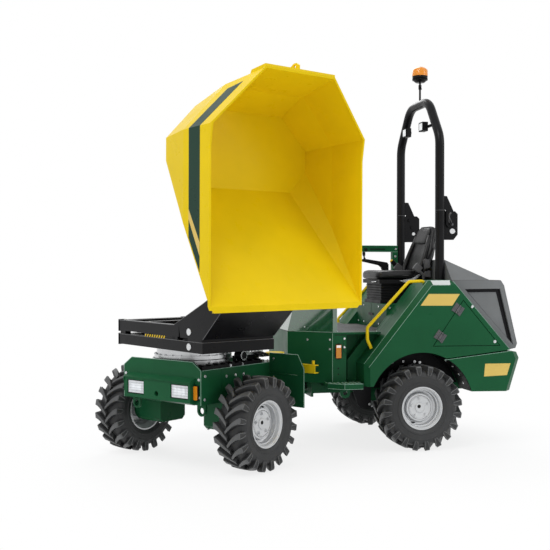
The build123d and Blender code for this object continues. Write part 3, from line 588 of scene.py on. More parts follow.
def swivel_edges():
    """Beads that paint highlights along the edges of the swivel frames and tipping bracket, bolt rows, and the
    pivot caps.
    """
    bead, steel = shapes(2)
    for _ in both_sides(bead, steel):
        y = FRAME_Y - 0.6
        bead.bead(y, [(FRAME_X0, 977.6), (FRAME_X1, 977.6)], 2.4)
        bead.bead(y, [(FRAME_X0, 1089.6), (232, 1089.6), (636, 1269), (706, 1304), (793, 1304)], 2.4, 10)
        bead.bead(y, [(832, 1200), (613, 1000.6)], 2.4, 8)
        steel.bolt((TIP_PIN_X, FRAME_Y + 8, TIP_PIN_Z), (0, 1, 0), 15, 10)
        steel.bolts([(x, FRAME_Y - 28, 1090) for x in (-540, -150, 250)], (0, 0, 1), 9, 8)
    for x, z in ((FRAME_X1 - 0.6, 977.6), (FRAME_X0 + 0.6, 977.6), (FRAME_X0 + 0.6, 1089.6)):
        bead.tube([(x, -FRAME_Y, z), (x, FRAME_Y, z)], 2.4)
    bead.piece("swivel_beads", ("frame_black", "grey_trim_and_highlight"), "swivel")
    steel.piece("swivel_bolts", BRIGHT, "swivel")


# ---- front chassis ----
LAMP_YS, LAMP_FACE, BOX_HALF = (-225, 240), 1402, 408
RING_X = 1000  # the slew ring's axis


def lamp_trim():
    """Bezels, ribs and bright middles of the front lamps."""
    black, ribs, glare = shapes(3)
    x = LAMP_FACE
    for y in LAMP_YS:
        for y0, y1, z0, z1 in ((y - 89, y + 89, 546, 552), (y - 89, y + 89, 645, 651),
                               (y - 89, y - 83, 552, 645), (y + 83, y + 89, 552, 645)):
            black.box(x - 20, x + 3, y0, y1, z0, z1, 1)
        for k in range(12):
            rib = y - 74 + 13.4 * k
            ribs.box(x - 1, x + 2.5, rib - 1.6, rib + 1.6, 553, 644, 0.6)
        for k in range(4):
            rib = 569 + 20 * k
            ribs.box(x - 1, x + 2, y - 82, y + 82, rib - 1.2, rib + 1.2, 0.4)
        glare.box(x + 0.2, x + 1, y - 52, y + 52, 578, 620, 0.2)
    for _ in both_sides(black):
        black.box(1353, 1368, 349, 393, 538, 650, 2)
    black.piece("lamp_bezels", "trim_black", "front_chassis")
    ribs.piece("lamp_ribs", ("lamp_clear", "lamp_rib"), "front_chassis")
    glare.piece("lamp_glare", "lamp_clear", "front_chassis")


def front_trim():
    """Lamp box lip, bolts, welds, and beads that paint highlights along the front chassis's edges."""
    lip, slots, steel, welds, beads = shapes(5)
    lip.prism("y", -352, 352, [(1352, 691), (1412, 665), (1416, 668), (1416, 674), (1354, 702)], 1.2)
    for _ in both_sides(lip):
        lip.prism("y", 348.5, 354, [(1353, 697), (1416, 670), (1416, 640), (1409, 640), (1409, 560),
                                    (1402, 560), (1402, 655), (1353, 676)], 0.8)
    for k in range(15):
        y = -320 + 46 * k
        slots.hull([[(x + d, y + half, z - d * 0.462) for x, half, z in (
            (1364, -13, 694.2), (1364, 13, 694.2), (1386, 13, 684.2), (1386, -13, 684.2))] for d in (0, 0.6)])
    for _ in both_sides(steel, welds, beads):
        steel.bolts([(1353, 388, z) for z in (560, 690)], (1, 0, 0))
        steel.side_bolts(BOX_HALF, ((1308, 716), (1067, 694), (964, 694), (866, 695), (1312, 543), (700, 560),
                                    (480, 600)))
        steel.side_bolts(402, [(x, 772) for x in (1013, 871, 620, 560)], 8, 6)
        steel.bolts([(x, 260, 283) for x in (870, 930, 1050, 1110)], (0, 0, -1), 8)
        for x, way in ((542, 1), (534, -1)):
            steel.bolts([(x, 450, z) for z in (450, 560, 640, 790)], (way, 0, 0), 8, 6)
        welds.bead(410, [(538, 430), (538, 830)], 5)
        welds.box(530, 546, 408, 752, 669, 677, 2)
        welds.box(1121, 1124, 408, 409.4, 505, 752, 0.4)
        # painted highlights: lighter green beads along the edges
        beads.bead(406.5, [(436, 758.5), (1338, 758.5)], 2.6)
        beads.tube([(1354, 408, 504), (1354, 408, 759), (1354, 323, 819)], 2.2, 8)
        beads.tube([(542, 410, 673), (544, 690, 673)], 2.6)
        beads.tube([(542.5, 412, 834), (542.5, 692, 834), (542.5, 751, 726), (542.5, 751, 424)], 2.2, 6)
    for c, s in around(28):
        if abs(s) < 0.96:
            steel.bolt((RING_X + 308 * c, 308 * s, 811), (0, 0, 1), 6, 4)
    beads.tube([(1354, -322, 819.5), (1354, 322, 819.5)], 2.4)
    ring = Shape().turned([(760.5, 318), (760.5, 330), (772, 330), (772, 318)], (RING_X, 0, 0), "z", 64)
    lip.piece("lamp_box_lip", "body_green", "front_chassis")
    slots.piece("lip_slots", ("body_green", "trim_black"), "front_chassis")
    steel.piece("front_bolts", BRIGHT, "front_chassis")
    ring.piece("ring_flange", BRIGHT, "front_chassis")
    welds.piece("front_seams", "body_green", "front_chassis")
    beads.piece("front_beads", GREEN_HIGHLIGHT, "front_chassis")


def slew_trim():
    """Fittings, hoses and motor ring of the slew drive."""
    steel, black, pale = shapes(3)
    for x in (618, 656, 694, 732, 758):
        steel.rod((x, 350, 854), (x, 350, 866), 9, sides=6, soft=1)
        steel.rod((x, 322, 854), (x, 322, 862), 6, sides=12, soft=1)
    steel.turned([(389, 30), (389, 38), (394, 38), (394, 30)], (840, 0, 834), "y", 40)
    steel.side_bolts(338, ((610, 790), (870, 790)), 8, 6)
    for k, (x, drop) in enumerate(((618, 0), (656, 8), (694, 4))):
        y = 144 - 30 * k
        black.tube([(x, 366, 842), (x, 392, 842), (x - 60, 398, 820 + drop), (x - 130, 360, 806),
                    (480, y + 76, 790), (440, y + 6, 782), (428, y, 740)], 8, 26, 10)
        black.rod((429, y, 757), (429, y, 768), 14, sides=16, soft=2)
    # thin pale pipes; their near-white colour partly paints the highlight along the hose loop
    pale.tube([(732, 350, 866), (732, 350, 876), (690, 372, 880), (640, 384, 872), (600, 380, 862),
               (585, 366, 846)], 4.5, 14)
    pale.tube([(758, 350, 866), (758, 352, 872), (700, 384, 868), (640, 392, 858), (596, 388, 840)], 4, 14)
    steel.piece("slew_fittings", BRIGHT, "front_chassis")
    black.piece("slew_hoses", "trim_black", "front_chassis")
    pale.piece("slew_pipes", ("machined_steel", "pale_reflection"), "front_chassis")


# ---- seat ----
BACK_NORMAL = Vector((0.951, 0, 0.31))  # forward from the backrest


def padded(shape, name):
    piece = shape.piece(name, "seat_black", smooth=pi)
    return piece


def along_back(share, front=(-1296, 1424), top=(-1446, 1884)):
    """Point on the backrest's slope, from (x, z) at its foot and its top."""
    return Vector((front[0], 0, front[1])).lerp(Vector((top[0], 0, top[1])), share)


def seat_cushion():
    """Crowned pad from (x, half width, low z, high z) stations, with rounded sides."""
    pad = Shape()
    pad.hull([[(x, half * squared(c, 0.35), (low + high) / 2 + (high - low) / 2 * squared(s, 0.5))
               for c, s in around(32)] for x, half, low, high in (
        (-1288, 150, 1426, 1470), (-1280, 198, 1413, 1486), (-1255, 219, 1410.8, 1492),
        (-1180, 228, 1410.8, 1490), (-1090, 232, 1410.8, 1487), (-1000, 233, 1410.8, 1490),
        (-945, 230, 1410.8, 1492), (-920, 220, 1411.5, 1486), (-908, 200, 1417, 1474),
        (-903, 150, 1432, 1458))])
    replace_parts(padded(pad, "seat_pad"), "seat_cushion")
    bolsters = Shape()
    for _ in both_sides(bolsters):
        bolsters.tube([(-1270, 196, 1466), (-1190, 203, 1470), (-1050, 207, 1468), (-960, 198, 1460)],
                      22, 120, 16)
    padded(bolsters, "seat_bolsters")


def seat_back():
    """Dished backrest, head pad and side wings, from (share of height, half width, thickness) stations."""
    back, head, wing = shapes(3)
    rings = []
    for t, half, thick in ((0.0, 170, 34), (0.03, 196, 56), (0.12, 216, 78), (0.3, 222, 88), (0.48, 222, 88),
                           (0.62, 210, 82), (0.72, 186, 76), (0.82, 172, 74), (0.92, 164, 70),
                           (0.98, 152, 56), (1.0, 128, 34)):
        ring = []
        for c, s in around(32):
            y = half * squared(c, 0.45)
            dish = 16 * max(0, 1 - abs(y) / half) if s < 0 and t < 0.66 else 0
            out = thick / 2 + thick / 2 * squared(s, 0.6) - 4 + dish
            ring.append(along_back(t) - BACK_NORMAL * out + Vector((0, y, 0)))
        rings.append(ring)
    back.hull(rings)
    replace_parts(padded(back, "seat_backrest"), "seat_back")
    rings = []
    for t, half, proud in ((0.66, 96, 4), (0.67, 118, 12), (0.70, 134, 18), (0.80, 140, 20), (0.90, 138, 18),
                           (0.955, 122, 12), (0.965, 100, 4)):
        rings.append([along_back(t) + BACK_NORMAL * (4 + (proud if s > 0 else -6) * abs(s)**0.6)
                      + Vector((0, half * squared(c, 0.5), 0)) for c, s in around(28)])
    head.hull(rings)
    padded(head, "seat_head_pad")
    for _ in both_sides(wing):
        wing.tube([along_back(t, (-1300, 1436), (-1424, 1815)) + Vector((18 * 0.951 * (1 - t), y, 0))
                   for t, y in ((0.02, 182), (0.2, 196), (0.45, 196), (0.7, 176), (0.95, 150))], 20, 120, 16)
    padded(wing, "seat_back_wings")


def seat_fittings():
    """Piping, bellows, brackets, and the belt with its buckles and strap."""
    welt, folds, steel, belt, strap = shapes(5)
    steel.box(-1240, -1150, 226, 231, 1382, 1404, 1).box(-1240, -1150, -231, -226, 1382, 1404, 1)
    steel.tube([(-925, 60, 1392), (-905, 60, 1388), (-905, 140, 1388), (-925, 140, 1392)], 5, 10, 10)
    for _ in both_sides(welt, steel, belt):
        # piping along the pad's and back's edges; its lighter grey partly paints a highlight there
        welt.tube([(-1284, 205, 1448), (-1180, 226, 1446), (-1000, 230, 1444), (-930, 214, 1440)], 3, 60)
        welt.tube([along_back(t, (-1306, 1424), (-1452, 1874)) + Vector((-38, y, -12)) for t, y in (
            (0.05, 205), (0.25, 222), (0.5, 222), (0.68, 198), (0.85, 171), (0.95, 160))], 3, 60)
        steel.prism("y", 228, 234, [(-1100, 1400), (-1215, 1418), (-1292, 1462), (-1300, 1448),
                                    (-1236, 1398), (-1150, 1384)], 1)
        belt.tube([(-1325, 238, 1410), (-1318, 241, 1450), (-1268, 238, 1506)], 12, 20, 12)
        for soft, points in ((5, [(-1218, 1508), (-1262, 1560), (-1318, 1512), (-1274, 1462)]),
                             (6, [(-1330, 1500), (-1322, 1590), (-1376, 1596), (-1388, 1512)]),
                             (6, [(-1322, 1430), (-1330, 1480), (-1386, 1490), (-1392, 1428)])):
            belt.prism("y", 226, 250, points, soft)
    for k in range(6):
        z = 1238 + 22 * k
        levels = ((12, z), (0, z + 9), (0, z + 11), (12, z + 21))
        folds.hull([[(-1280 + d, d - 200, level), (-940 - d, d - 200, level), (-940 - d, 200 - d, level),
                     (-1280 + d, 200 - d, level)] for d, level in levels])
    strap.prism("y", 252, 254, [(-1270, 1466), (-1236, 1438), (-1226, 1452), (-1262, 1480)])
    strap.prism("y", 246, 252, [(-1350, 1590), (-1405, 1690), (-1418, 1684), (-1364, 1586)])
    welt.piece("seat_piping", ("seat_black", "grey_trim_and_highlight"), smooth=pi)
    folds.piece("seat_bellows", "trim_black")
    steel.piece("seat_brackets", "machined_steel")
    belt.piece("seat_belt", GREY_TRIM_AND_HIGHLIGHT)
    strap.piece("belt_straps", "trim_black")


def seat_box_trim():
    """Bolts and seams of the seat box."""
    steel, black = shapes(2)
    for _ in both_sides(steel):
        steel.side_bolts(400, ((-950, 1170), (-1120, 1170), (-1300, 1170), (-950, 1020), (-1120, 1020)), 7, 5)
        steel.bolts([(-920, y, z) for y in (360, 200) for z in (1170, 1020)], (1, 0, 0), 7, 5)
    black.box(-921, -919.2, -2, 2, 1000, 1196)
    black.box(-919.6, -914, -60, 60, 1090, 1112, 2)
    steel.piece("seat_box_bolts", BRIGHT)
    black.piece("seat_box_lines", "trim_black")


# ---- rear chassis ----
FLANK_OUT = 745
HINGE_TOP, HINGE_FOOT = (-1472, 1240), (-1210, 869)  # ends of the door's hinged edge, (x, z)


def blank_plate(name, side, corners):
    """Gilt plate without lettering on a flank, from its (x, z) corners."""
    shape = Shape(side).prism("y", FLANK_OUT + 0.15, FLANK_OUT + 0.8, corners)
    shape.piece(name, ("body_green", "gold_film"))


def door_hinge(still, moving, share):
    """Ribbed leaves and barrel of the hinge at a share of the door's hinged edge."""
    (x0, z0), (x1, z1) = HINGE_TOP, HINGE_FOOT
    length = sqrt((x1 - x0)**2 + (z1 - z0)**2)
    dx, dz = (x1 - x0) / length, (z1 - z0) / length
    x, z = x0 + share * (x1 - x0), z0 + share * (z1 - z0)

    def at(along, across):
        return x + along * dx + across * dz, z + along * dz - across * dx

    def pin(shape, start, end, radius):
        ends = [(a, FLANK_OUT + 9, b) for a, b in (at(start, 0), at(end, 0))]
        shape.rod(*ends, radius, soft=1)

    for shape, way, low, high in ((still, -1, 7, 44), (moving, 1, 12, 46)):
        leaf = [at(-36, way * low), at(36, way * low), at(41, way * high), at(-41, way * high)]
        shape.prism("y", FLANK_OUT + 0.3, FLANK_OUT + 5.5, leaf, 1.2)
        for k in range(2):
            middle = low + (high - low) * (0.3 + 0.45 * k)
            near, far = way * (middle - 4), way * (middle + 4)
            rib = [at(-37, near), at(37, near), at(38, far), at(-38, far)]
            shape.prism("y", FLANK_OUT + 4, FLANK_OUT + 9, rib, 1.6)
    strap = [at(-20.5, 2), at(20.5, 2), at(20.5, 15), at(-20.5, 15)]
    moving.prism("y", FLANK_OUT + 4.2, FLANK_OUT + 9, strap, 1)
    pin(moving, -20.5, 20.5, 8.8)
    pin(still, -38, -22, 7.5)
    pin(still, 22, 38, 7.5)


def flank_trim():
    """Blank plates, painted-highlight edge beads, a film painting the sky's reflection on the top chamfer, door
    hinges, latch and bolts of both flanks.
    """
    for word, side in (("left", 1), ("right", -1)):
        blank_plate("plate_" + word, side, [(-1165, 1299), (-1440, 1297), (-1373, 1200), (-1092, 1203)])
        blank_plate("rear_plate_" + word, side, [(-1670, 710), (-1902, 708), (-1869, 609), (-1660, 603)])
        strip, beads, still, moving, lock, catch, bolts = shapes(7, side)
        # painted reflection: a pale film on the top chamfer stands for the sky reflected there
        strip.hull([[strip.spot(point) for point in (
            (-1204, y0, z0), (-1356, y0, z0), (-1366, y1, z1), (-1194, y1, z1))]
            for y0, y1, z0, z1 in ((743.0, 707, 1372.4, 1408.5), (743.6, 707.6, 1373.2, 1409.3))])
        # painted highlights: lighter green beads along the flank's edges
        beads.bead(704, [(-616, 728), (-1173, 1409.5), (-1373, 1409.5)], 1.9, 6)
        beads.bead(744.6, [(-645, 703), (-1192, 1370), (-1345, 1370)], 1.9, 6)
        beads.bead(744, [(-1378, 1406), (-1892, 830)], 1.9, 6)
        beads.bead(744, [(-1305, 749), (-1905, 811)], 2.2, 6)
        beads.bead(695, [(-1955, 798), (-1999, 748), (-1915, 480)], 2.2, 8)
        for share in (0.19, 0.79):
            door_hinge(still, moving, share)
        lock.knob(-1758, 894, 744, 748, 13, 24)
        lock.knob(-1758, 894, 748, 750, 7, 6, 0.5)
        catch.prism("y", FLANK_OUT + 0.2, FLANK_OUT + 5,
                    [(-1566, 1196), (-1548, 1204), (-1537, 1184), (-1555, 1176)], 1)
        catch.knob(-1551, 1190, 749, 753, 5, 12, 0.6)
        bolts.side_bolts(FLANK_OUT - 6, ((-1500, 760), (-1700, 780), (-1880, 798)), 5, 4)
        strip.piece("chamfer_reflection_" + word, ("body_green", "pale_reflection"))
        beads.piece("flank_beads_" + word, GREEN_HIGHLIGHT)
        still.piece("hinge_leaves_" + word, GREY_TRIM_AND_HIGHLIGHT)
        moving.piece("door_leaves_" + word, GREY_TRIM_AND_HIGHLIGHT, "door_" + word)
        lock.piece("door_lock_" + word, BRIGHT, "door_" + word)
        catch.piece("hood_catch_" + word, BRIGHT)
        bolts.piece("skirt_bolts_" + word, BRIGHT)


ARCH = (-1106, 355)  # (x, z) centre of the rear wheel arches


def arch_liner():
    """Black liners of the rear wheel arches, roof and inner wall, with their bolts."""
    black, steel = shapes(2)
    for _ in both_sides(black, steel):
        for r0, r1, y0, y1, start, end in ((477, 481, 430, 717, 22, 116), (455.5, 459.4, 507, 742, 117, 163)):
            inner, outer = arc(ARCH, r0, start, end, 21), arc(ARCH, r1, start, end, 21)
            black.hull([[black.spot(point) for point in ((a, y0, b), (a, y1, b), (c, y1, d), (c, y0, d))]
                        for (a, b), (c, d) in zip(outer, inner)])
        black.prism("y", 425.4, 429, arc(ARCH, 476, 16, 160, 25))
        steel.side_bolts(429, ((-962, 707), (-1061, 709), (-1165, 707), (-1213, 700), (-1330, 640),
                               (-860, 640)), 9, 6)
        for angle in (124, 134, 145, 156):
            c, s = cos(radians(angle)), sin(radians(angle))
            steel.bolt((ARCH[0] + 455.5 * c, 640, ARCH[1] + 455.5 * s), (-c, 0, -s), 9, 6)
    black.piece("arch_liners", "trim_black")
    steel.piece("arch_bolts", BRIGHT)


def hood_trim():
    """Black bands in the hood's recessed panels (gaskets, and painted shade of the recess walls), beads that paint
    highlights along its edges, and its louvre.
    """
    black, bead, vent = shapes(3)
    for _ in both_sides(black, bead):
        # black bands along the recess edges: gasket, and painted shade of the recess walls
        black.prism("y", 600.2, 603.5, [(-1541, 1334), (-1868, 1336), (-1838, 1307), (-1580, 1306)])
        black.prism("y", 600.2, 603.5, [(-1868, 1336), (-1991, 851), (-1946, 905), (-1838, 1307)])
        black.prism("y", 600.2, 602.5, [(-1991, 851), (-1946, 905), (-1580, 1306), (-1541, 1334)])
        # painted highlights: grey beads along the hood's edges and round its recess
        bead.tube([(-1428, 447, 1583), (-1422, 618, 1409), (-1765, 618, 1409)], 2.5, 5)
        bead.tube([(-1428, 448, 1582), (-1764, 615, 1411)], 2.2, 5)
        bead.bead(619, [(-1765, 1409), (-1873, 1406), (-1903, 1362), (-2025, 864)], 2.5, 12)
        bead.bead(619, [(-1541, 1334), (-1868, 1336), (-1991, 851), (-1541, 1334)], 1.8, 4)
    for k in range(9):
        x, z = -1998 + 8.33 * k, 980 + 34 * k
        vent.box(x - 4.5, x + 6, -300, 300, z, z + 15, 2)
    black.piece("hood_gaskets_and_shade", ("hood_grey", "trim_black"), "hood")
    bead.piece("hood_edges", ("hood_grey", "grey_trim_and_highlight"), "hood")
    vent.piece("hood_louvre", ("hood_grey", "trim_black"), "hood")


HOOP_FOOT = (-1378, 465, 0)  # axis of the hoop's left leg
BEACON = (-1378, 13, 0)  # axis of the beacon


def hoop_trim():
    """Fold pins, hairpins, caps and seam rings of the roll-over hoop."""
    steel, black, seam, clip, boot = shapes(5)
    for _ in both_sides(steel, black, seam, clip, boot):
        steel.prism("y", 443.2, 448, [(-x, z) for x, z in teardrop(1503, 1830, 23)], 1)
        steel.prism("y", 430.5, 434.8, [(-x, z) for x, z in teardrop(1494, 1834, 15)], 1)
        black.knob(-1451, 1962, 434.8, 422, 15, 24, 3)
        black.knob(-1480, 1895, 426, 434, 19, 6, 2)
        black.box(-1442, -1419, 436, 442, 2002, 2011.5)
        seam.turned([(2007.2, 37), (2007.2, 39.6), (2009.8, 39.6), (2009.8, 37)], HOOP_FOOT, "z", 40)
        clip.bead(463, [(-1478, 1985), (-1470, 1950), (-1492, 1900), (-1500, 1880)], 3.2, 10)
        clip.bead(463, [(-1478, 1985), (-1466, 1978), (-1466, 1900)], 3.2, 8)
        clip.knob(-1478, 1985, 458.5, 468, 9, 16, 2)
        clip.knob(-1496, 1888, 458.5, 466, 12, 6, 1.5)
        boot.bolts([(x, 444, 824) for x in (-1418, -1352)], (0, 0, 1), 9, 8)
        boot.turned([(1404, 39.2), (1404, 52), (1411, 50), (1415, 41), (1415, 39.2)], HOOP_FOOT, "z", 40)
    steel.piece("fold_caps", BRIGHT)
    black.piece("fold_knobs", "trim_black")
    seam.piece("fold_seams", ("frame_black", "grey_trim_and_highlight"))
    clip.piece("fold_clips", GREY_TRIM_AND_HIGHLIGHT, "hoop")
    boot.piece("hoop_boots", "trim_black")


def beacon_trim():
    """Ribbed base ring, lever and dome of the beacon, brackets and lenses of the work lights."""
    ring, dome, glass, rims = shapes(4)
    ring.turned([(3208, 60), (3208, 68), (3213, 70), (3216, 67), (3219, 70), (3222, 67), (3225, 70),
                 (3228, 67), (3241, 69), (3244.5, 69), (3244.5, 60)], BEACON, "z", 48)
    ring.tube([(-1378, 13, 3150), (-1378, 34, 3142), (-1378, 46, 3122)], 5, 10, 10)
    ring.rod((-1378, 13, 3125), (-1378, 13, 3168), 14, sides=24, soft=3)
    dome.turned([(3245.5, 66), (3246, 69.5), (3252, 70), (3298, 69), (3308, 62), (3319, 47), (3327, 30),
                 (3329.5, 12), (3329.8, 0.5), (3245.5, 0.5)], BEACON, "z", 64)
    for side in both_sides(glass, rims):
        glass.box(-1312, -1309, 164, 236, 2730, 2790, 1)
        for y0, y1, z0, z1 in ((155, 245, 2720, 2727), (155, 245, 2793, 2800), (155, 162, 2727, 2793),
                               (238, 245, 2727, 2793)):
            rims.box(-1318, -1308, y0, y1, z0, z1, 1.5)
        for k in range(6):
            y = (168 if side > 0 else 167) + 12 * k
            rims.box(-1361, -1340, y, y + 5, 2726, 2794, 1)
        rims.bolt((-1352, 247, 2760), (0, 1, 0), 8, 6)
    ring.piece("beacon_ring", "trim_black", "hoop")
    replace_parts(dome.piece("beacon_dome", "amber", "hoop", 0.9), "beacon_lens")
    glass.piece("work_lenses", "lamp_clear", "hoop")
    rims.piece("work_light_rims", "trim_black", "hoop")


def guard_trim():
    """Slot, knob, bolts, and beads that paint highlights along the side guard's edges."""
    black, steel, bead = shapes(3)
    black.box(-1210, -1060, -440, -438.6, 1683, 1693, 1.5)
    black.knob(-1016, 1684, -440, -424, 15, 24, 3)
    steel.side_bolts(-440, ((-1318, 1689), (-1312, 1440), (-1312, 1620)), 8, 6)
    for z in (1721, 1662.5):
        bead.bead(-441, [(-1336, z), (-562, z)], 2)
    black.piece("guard_knob", "trim_black")
    steel.piece("guard_bolts", BRIGHT)
    bead.piece("guard_beads", GREEN_HIGHLIGHT)


# ---- footplate and entry ----
DECK_Z = 985


def deck_trim():
    """Ribs and bolts of the footplate, side marker bezels, hatch line and nose bolts, and beads that paint
    highlights along the deck's edges. The ribs' pale grey partly paints the footplate's sheen.
    """
    ribs, steel, black, clear, bead = shapes(5)
    # pale ribs: partly their own grey, partly painted sheen of the footplate
    for k in range(-19, 20):
        y = 30 * k
        front = -72 if abs(y) < 335 else -72 - (abs(y) - 343) * 321 / 251
        back = -915 if abs(y) < 395 else -795
        ribs.box(back, front, y - 6, y + 6, DECK_Z - 0.3, DECK_Z + 1.4, 0.5)
    for _ in both_sides(steel, black, clear, bead):
        steel.bolts([(x, y, DECK_Z) for x, y in ((-700, 562), (-768, 572), (-430, 562))], (0, 0, 1), 8, 6)
        steel.bolts(((-206, 457, 916), (-363, 580, 923), (-363, 580, 844)), (0.616, 0.788, 0), 6.5, 5)
        steel.bolt((-188, 431, 1021), (0.6, 0.77, 0.2), 6.5, 5)
        steel.side_bolts(594, ((-484, 930), (-484, 859)), 6.5, 5)
        black.prism("y", 594.2, 600.5, [(-432, 892), (-456, 882), (-463, 862), (-463, 788), (-456, 768),
                                        (-432, 758), (-408, 768), (-401, 788), (-401, 862), (-408, 882)], 1.2)
        for z in (685, 636):
            black.rod((-431, 593.5, z), (-431, 594.6, z), 7, sides=16)
        black.prism("y", 594.1, 595.2, [(-400, 958), (-400, 964), (-498, 964), (-498, 958)])
        black.prism("y", 594.1, 594.8, [(-470, 955), (-473, 955), (-473, 826), (-496, 804), (-498, 807),
                                        (-476, 828)])
        clear.box(-451, -413, 603.5, 606, 857, 876, 1)
        # painted highlights: lighter green beads along the deck's edges
        bead.tube([(-381, 595, 564), (-381, 595, 976)], 2.2)
        bead.tube([(-60, 344, 564), (-60, 344, 976)], 2.2)
        bead.tube([(-62, 344, 984), (-382, 595, 984), (-798, 595, 984)], 2, 4)
    ribs.piece("deck_ribs", ("deck_black", "deck_rib"))
    steel.piece("deck_bolts", BRIGHT)
    black.piece("deck_lines", "trim_black")
    clear.piece("marker_tops", "lamp_clear")
    bead.piece("deck_beads", GREEN_HIGHLIGHT)


def steps_trim():
    """Raised grip rings in a lighter green that paints their highlight, beads that paint highlights along the
    steps' edges, and the flap behind them.
    """
    grip, bead, flap, steel = shapes(4)
    corners = ((-545, 545, 0), (-594, 472, 0), (-640, 335, 0), (-748, 335, 0))
    edge = rounded([Vector(corner) for corner in corners], 90, 8)
    for _ in both_sides(grip, bead, flap, steel):
        for i in range(8):
            for k in range(4):
                x, y = -350 - 34 * i, 618 + 34 * k + (17 if i % 2 else 0)
                if y < 736 and (x < -440 or y < 640 + (-x - 325) * 0.8):
                    grip.turned([(570.8, 5.5), (574, 7), (574, 9), (570.8, 10.5)], (x, y, 0), "z", 14)
        bead.tube([(-336, 430, 571), (-326, 650, 571), (-440, 745, 571), (-597, 745, 571)], 2.4, 4)
        bead.tube([(-440, 745, 530), (-440, 745, 571)], 2)
        bead.tube([(-326, 650, 529.5), (-440, 745, 529.5), (-597, 745, 529.5)], 2, 4)
        flap.prism("y", 493, 500, [(p.x, p.y) for p in edge] + [(-748, 545)], 1.5)
        steel.bolt((-734, 500, 366), (0, 1, 0), 8, 6)
    grip.piece("step_grips", GREEN_HIGHLIGHT)
    bead.piece("step_beads", GREEN_HIGHLIGHT)
    flap.piece("mud_flaps", "trim_black")
    steel.piece("flap_bolts", BRIGHT)


def console_trim():
    """Dials, switches, pedals and ribs at the console."""
    dial, black = shapes(2)
    tilt = Vector((-0.167, 0, 0.986))
    for y, size in ((-95, 34), (0, 44), (95, 34)):
        at = Vector((-272, y, 1361))
        dial.rod(at - tilt * 2, at + tilt * 5, size, sides=32, soft=2)
    for k in range(6):
        at = Vector((-375, -110 + 44 * k, 1316))
        black.rod(at, at + Vector((-0.6, 0, 0.8)) * 9, 9, sides=16, soft=2)
    for y in (-210, 110):
        black.prism("y", y, y + 90, [(-470, 1004), (-452, 1000), (-392, 1092), (-404, 1100)], 3)
        black.rod((-400, y + 45, 1040), (-360, y + 45, 1040), 9, sides=12)
    for _ in both_sides(black):
        for k in range(7):
            black.box(-402 + 3 * k, -330 + 3 * k, 188, 196, 1030 + 26 * k, 1042 + 26 * k, 2)
    dial.piece("dials", GREY_TRIM_AND_HIGHLIGHT)
    black.piece("switches_and_pedals", "trim_black")


def pod():
    """Arm beside the seat with its control lever."""
    arm, tip = shapes(2)
    arm.prism("y", -296, -246, [(-1178, 1378), (-1178, 1552), (-1160, 1562), (-934, 1597), (-905, 1574),
                                (-1088, 1534), (-1118, 1508), (-1118, 1378)], 8)
    arm.box(-1178, -1112, -247, -226, 1378, 1403, 3)
    arm.rod((-948, -270, 1570), (-943, -270, 1622), 7, sides=16)
    arm.rod((-943, -270, 1618), (-940, -270, 1660), 12, 15, sides=24, soft=5)
    arm.turned([(1566, 10), (1570, 26), (1582, 22), (1592, 12), (1604, 9), (1604, 2), (1566, 2)],
               (-948, -270, 0), "z", 24)
    arm.rod((-1290, -268, 1500), (-1262, -268, 1530), 10, sides=16)
    arm.rod((-1268, -268, 1524), (-1212, -268, 1574), 19, 22, sides=8, soft=5)
    tip.rod((-1212, -268, 1574), (-1204, -268, 1581), 17, 14, sides=16, soft=3)
    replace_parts(arm.piece("control_arm", "trim_black"), "control_pod")
    tip.piece("lever_button", ("amber", "hazard_yellow"))


# ---- studio ----
def add_math(tree, operation, *sources):
    """Value of a calculation on the given outputs."""
    node = add_node(tree, "ShaderNodeMath")
    node.operation = operation
    for entry, source in zip(node.inputs, sources):
        tree.links.new(source, entry)
    return node.outputs[0]


def seen_rays(tree):
    """One where the camera looks, straight or by way of metal and glass."""
    path = add_node(tree, "ShaderNodeLightPath")
    total = path.outputs["Is Camera Ray"]
    for name in ("Is Glossy Ray", "Is Transmission Ray"):
        total = add_math(tree, "MAXIMUM", total, path.outputs[name])
    return total


def floor_paint():
    """Pale floor that takes the shadow near the machine and turns white further off."""
    paint, tree, shader = new_material("floor")
    fill(shader, Base_Color=(0.93, 0.93, 0.93, 1), Roughness=0.9)
    white = add_node(tree, "ShaderNodeEmission", Color=(1, 1, 1, 1), Strength=1.0)
    where = add_node(tree, "ShaderNodeTexCoord")
    far = add_node(tree, "ShaderNodeVectorMath")
    far.operation = "LENGTH"
    fade = add_node(tree, "ShaderNodeMapRange", From_Min=1.4, From_Max=2.8, To_Min=0.8, To_Max=1.0)
    share = add_math(tree, "MULTIPLY", fade.outputs["Result"], seen_rays(tree))
    mix = add_node(tree, "ShaderNodeMixShader")
    tree.links.new(share, mix.inputs[0])
    join(tree, (where, "Object", far, 0), (far, "Value", fade, "Value"), (shader, 0, mix, 1),
         (white, 0, mix, 2), (mix, 0, tree.nodes["Material Output"], "Surface"))
    return paint


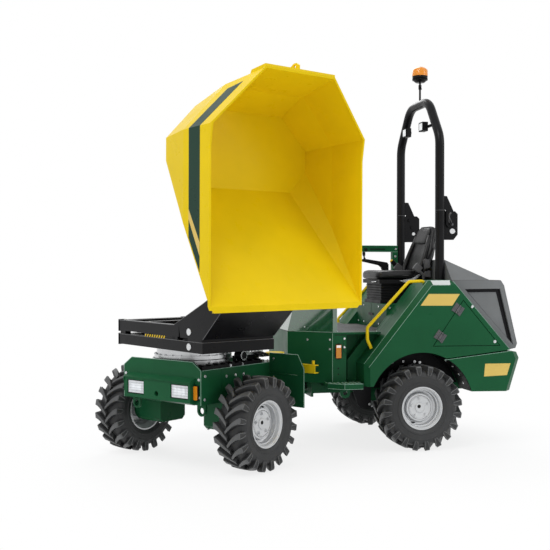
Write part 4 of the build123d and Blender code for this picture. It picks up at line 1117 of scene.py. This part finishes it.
def light_world():
    """Pale sky light with a white background."""
    world = bpy.data.worlds.new("studio")
    bpy.context.scene.world = world
    world.use_nodes = True
    tree = world.node_tree
    light = fill(tree.nodes["Background"], Color=(0.95, 0.97, 1.0, 1), Strength=0.66)
    seen = add_node(tree, "ShaderNodeBackground", Color=(1, 1, 1, 1), Strength=1.0)
    mix = add_node(tree, "ShaderNodeMixShader")
    tree.links.new(seen_rays(tree), mix.inputs[0])
    join(tree, (light, 0, mix, 1), (seen, 0, mix, 2), (mix, 0, tree.nodes["World Output"], "Surface"))


LAMPS = [  # name, metres from the machine's middle, size, power
    ("key", (3.5, 4.0, 7.0), 4.0, 330),
    ("fill", (-6.0, 4.0, 3.5), 4.0, 120),
    ("back", (-1.0, -6.0, 5.0), 4.0, 200),
]
FLOOR_HALF = 40


def make_studio():
    scene = bpy.context.scene
    scene.view_settings.view_transform = "Standard"
    light_world()
    middle = (CAD_BOX[0] + CAD_BOX[1]) / 2
    for name, offset, size, power in LAMPS:
        data = bpy.data.lights.new(name, "AREA")
        data.size, data.energy = size, power
        lamp = bpy.data.objects.new(name, data)
        lamp.location = middle + Vector(offset)
        lamp.rotation_euler = (middle - lamp.location).to_track_quat("-Z", "Y").to_euler()
        scene.collection.objects.link(lamp)
    mesh = bpy.data.meshes.new("floor")
    corners = [(-FLOOR_HALF, -FLOOR_HALF, 0), (FLOOR_HALF, -FLOOR_HALF, 0), (FLOOR_HALF, FLOOR_HALF, 0),
               (-FLOOR_HALF, FLOOR_HALF, 0)]
    mesh.from_pydata(corners, [], [(0, 1, 2, 3)])
    mesh.materials.append(floor_paint())
    floor = bpy.data.objects.new("floor", mesh)
    scene.collection.objects.link(floor)


make_camera()
make_studio()
dress_nodes()
for wheel, wheel_side in WHEELS:
    tyre(wheel, wheel_side)
    wheel_fittings(wheel, wheel_side)
skip_trim()
swivel_trim()
lamp_trim()
front_trim()
seat_cushion()
seat_back()
seat_fittings()
flank_trim()
arch_liner()
hood_trim()
hoop_trim()
beacon_trim()
guard_trim()
deck_trim()
steps_trim()
console_trim()
pod()
swivel_edges()
slew_trim()
seat_box_trim()
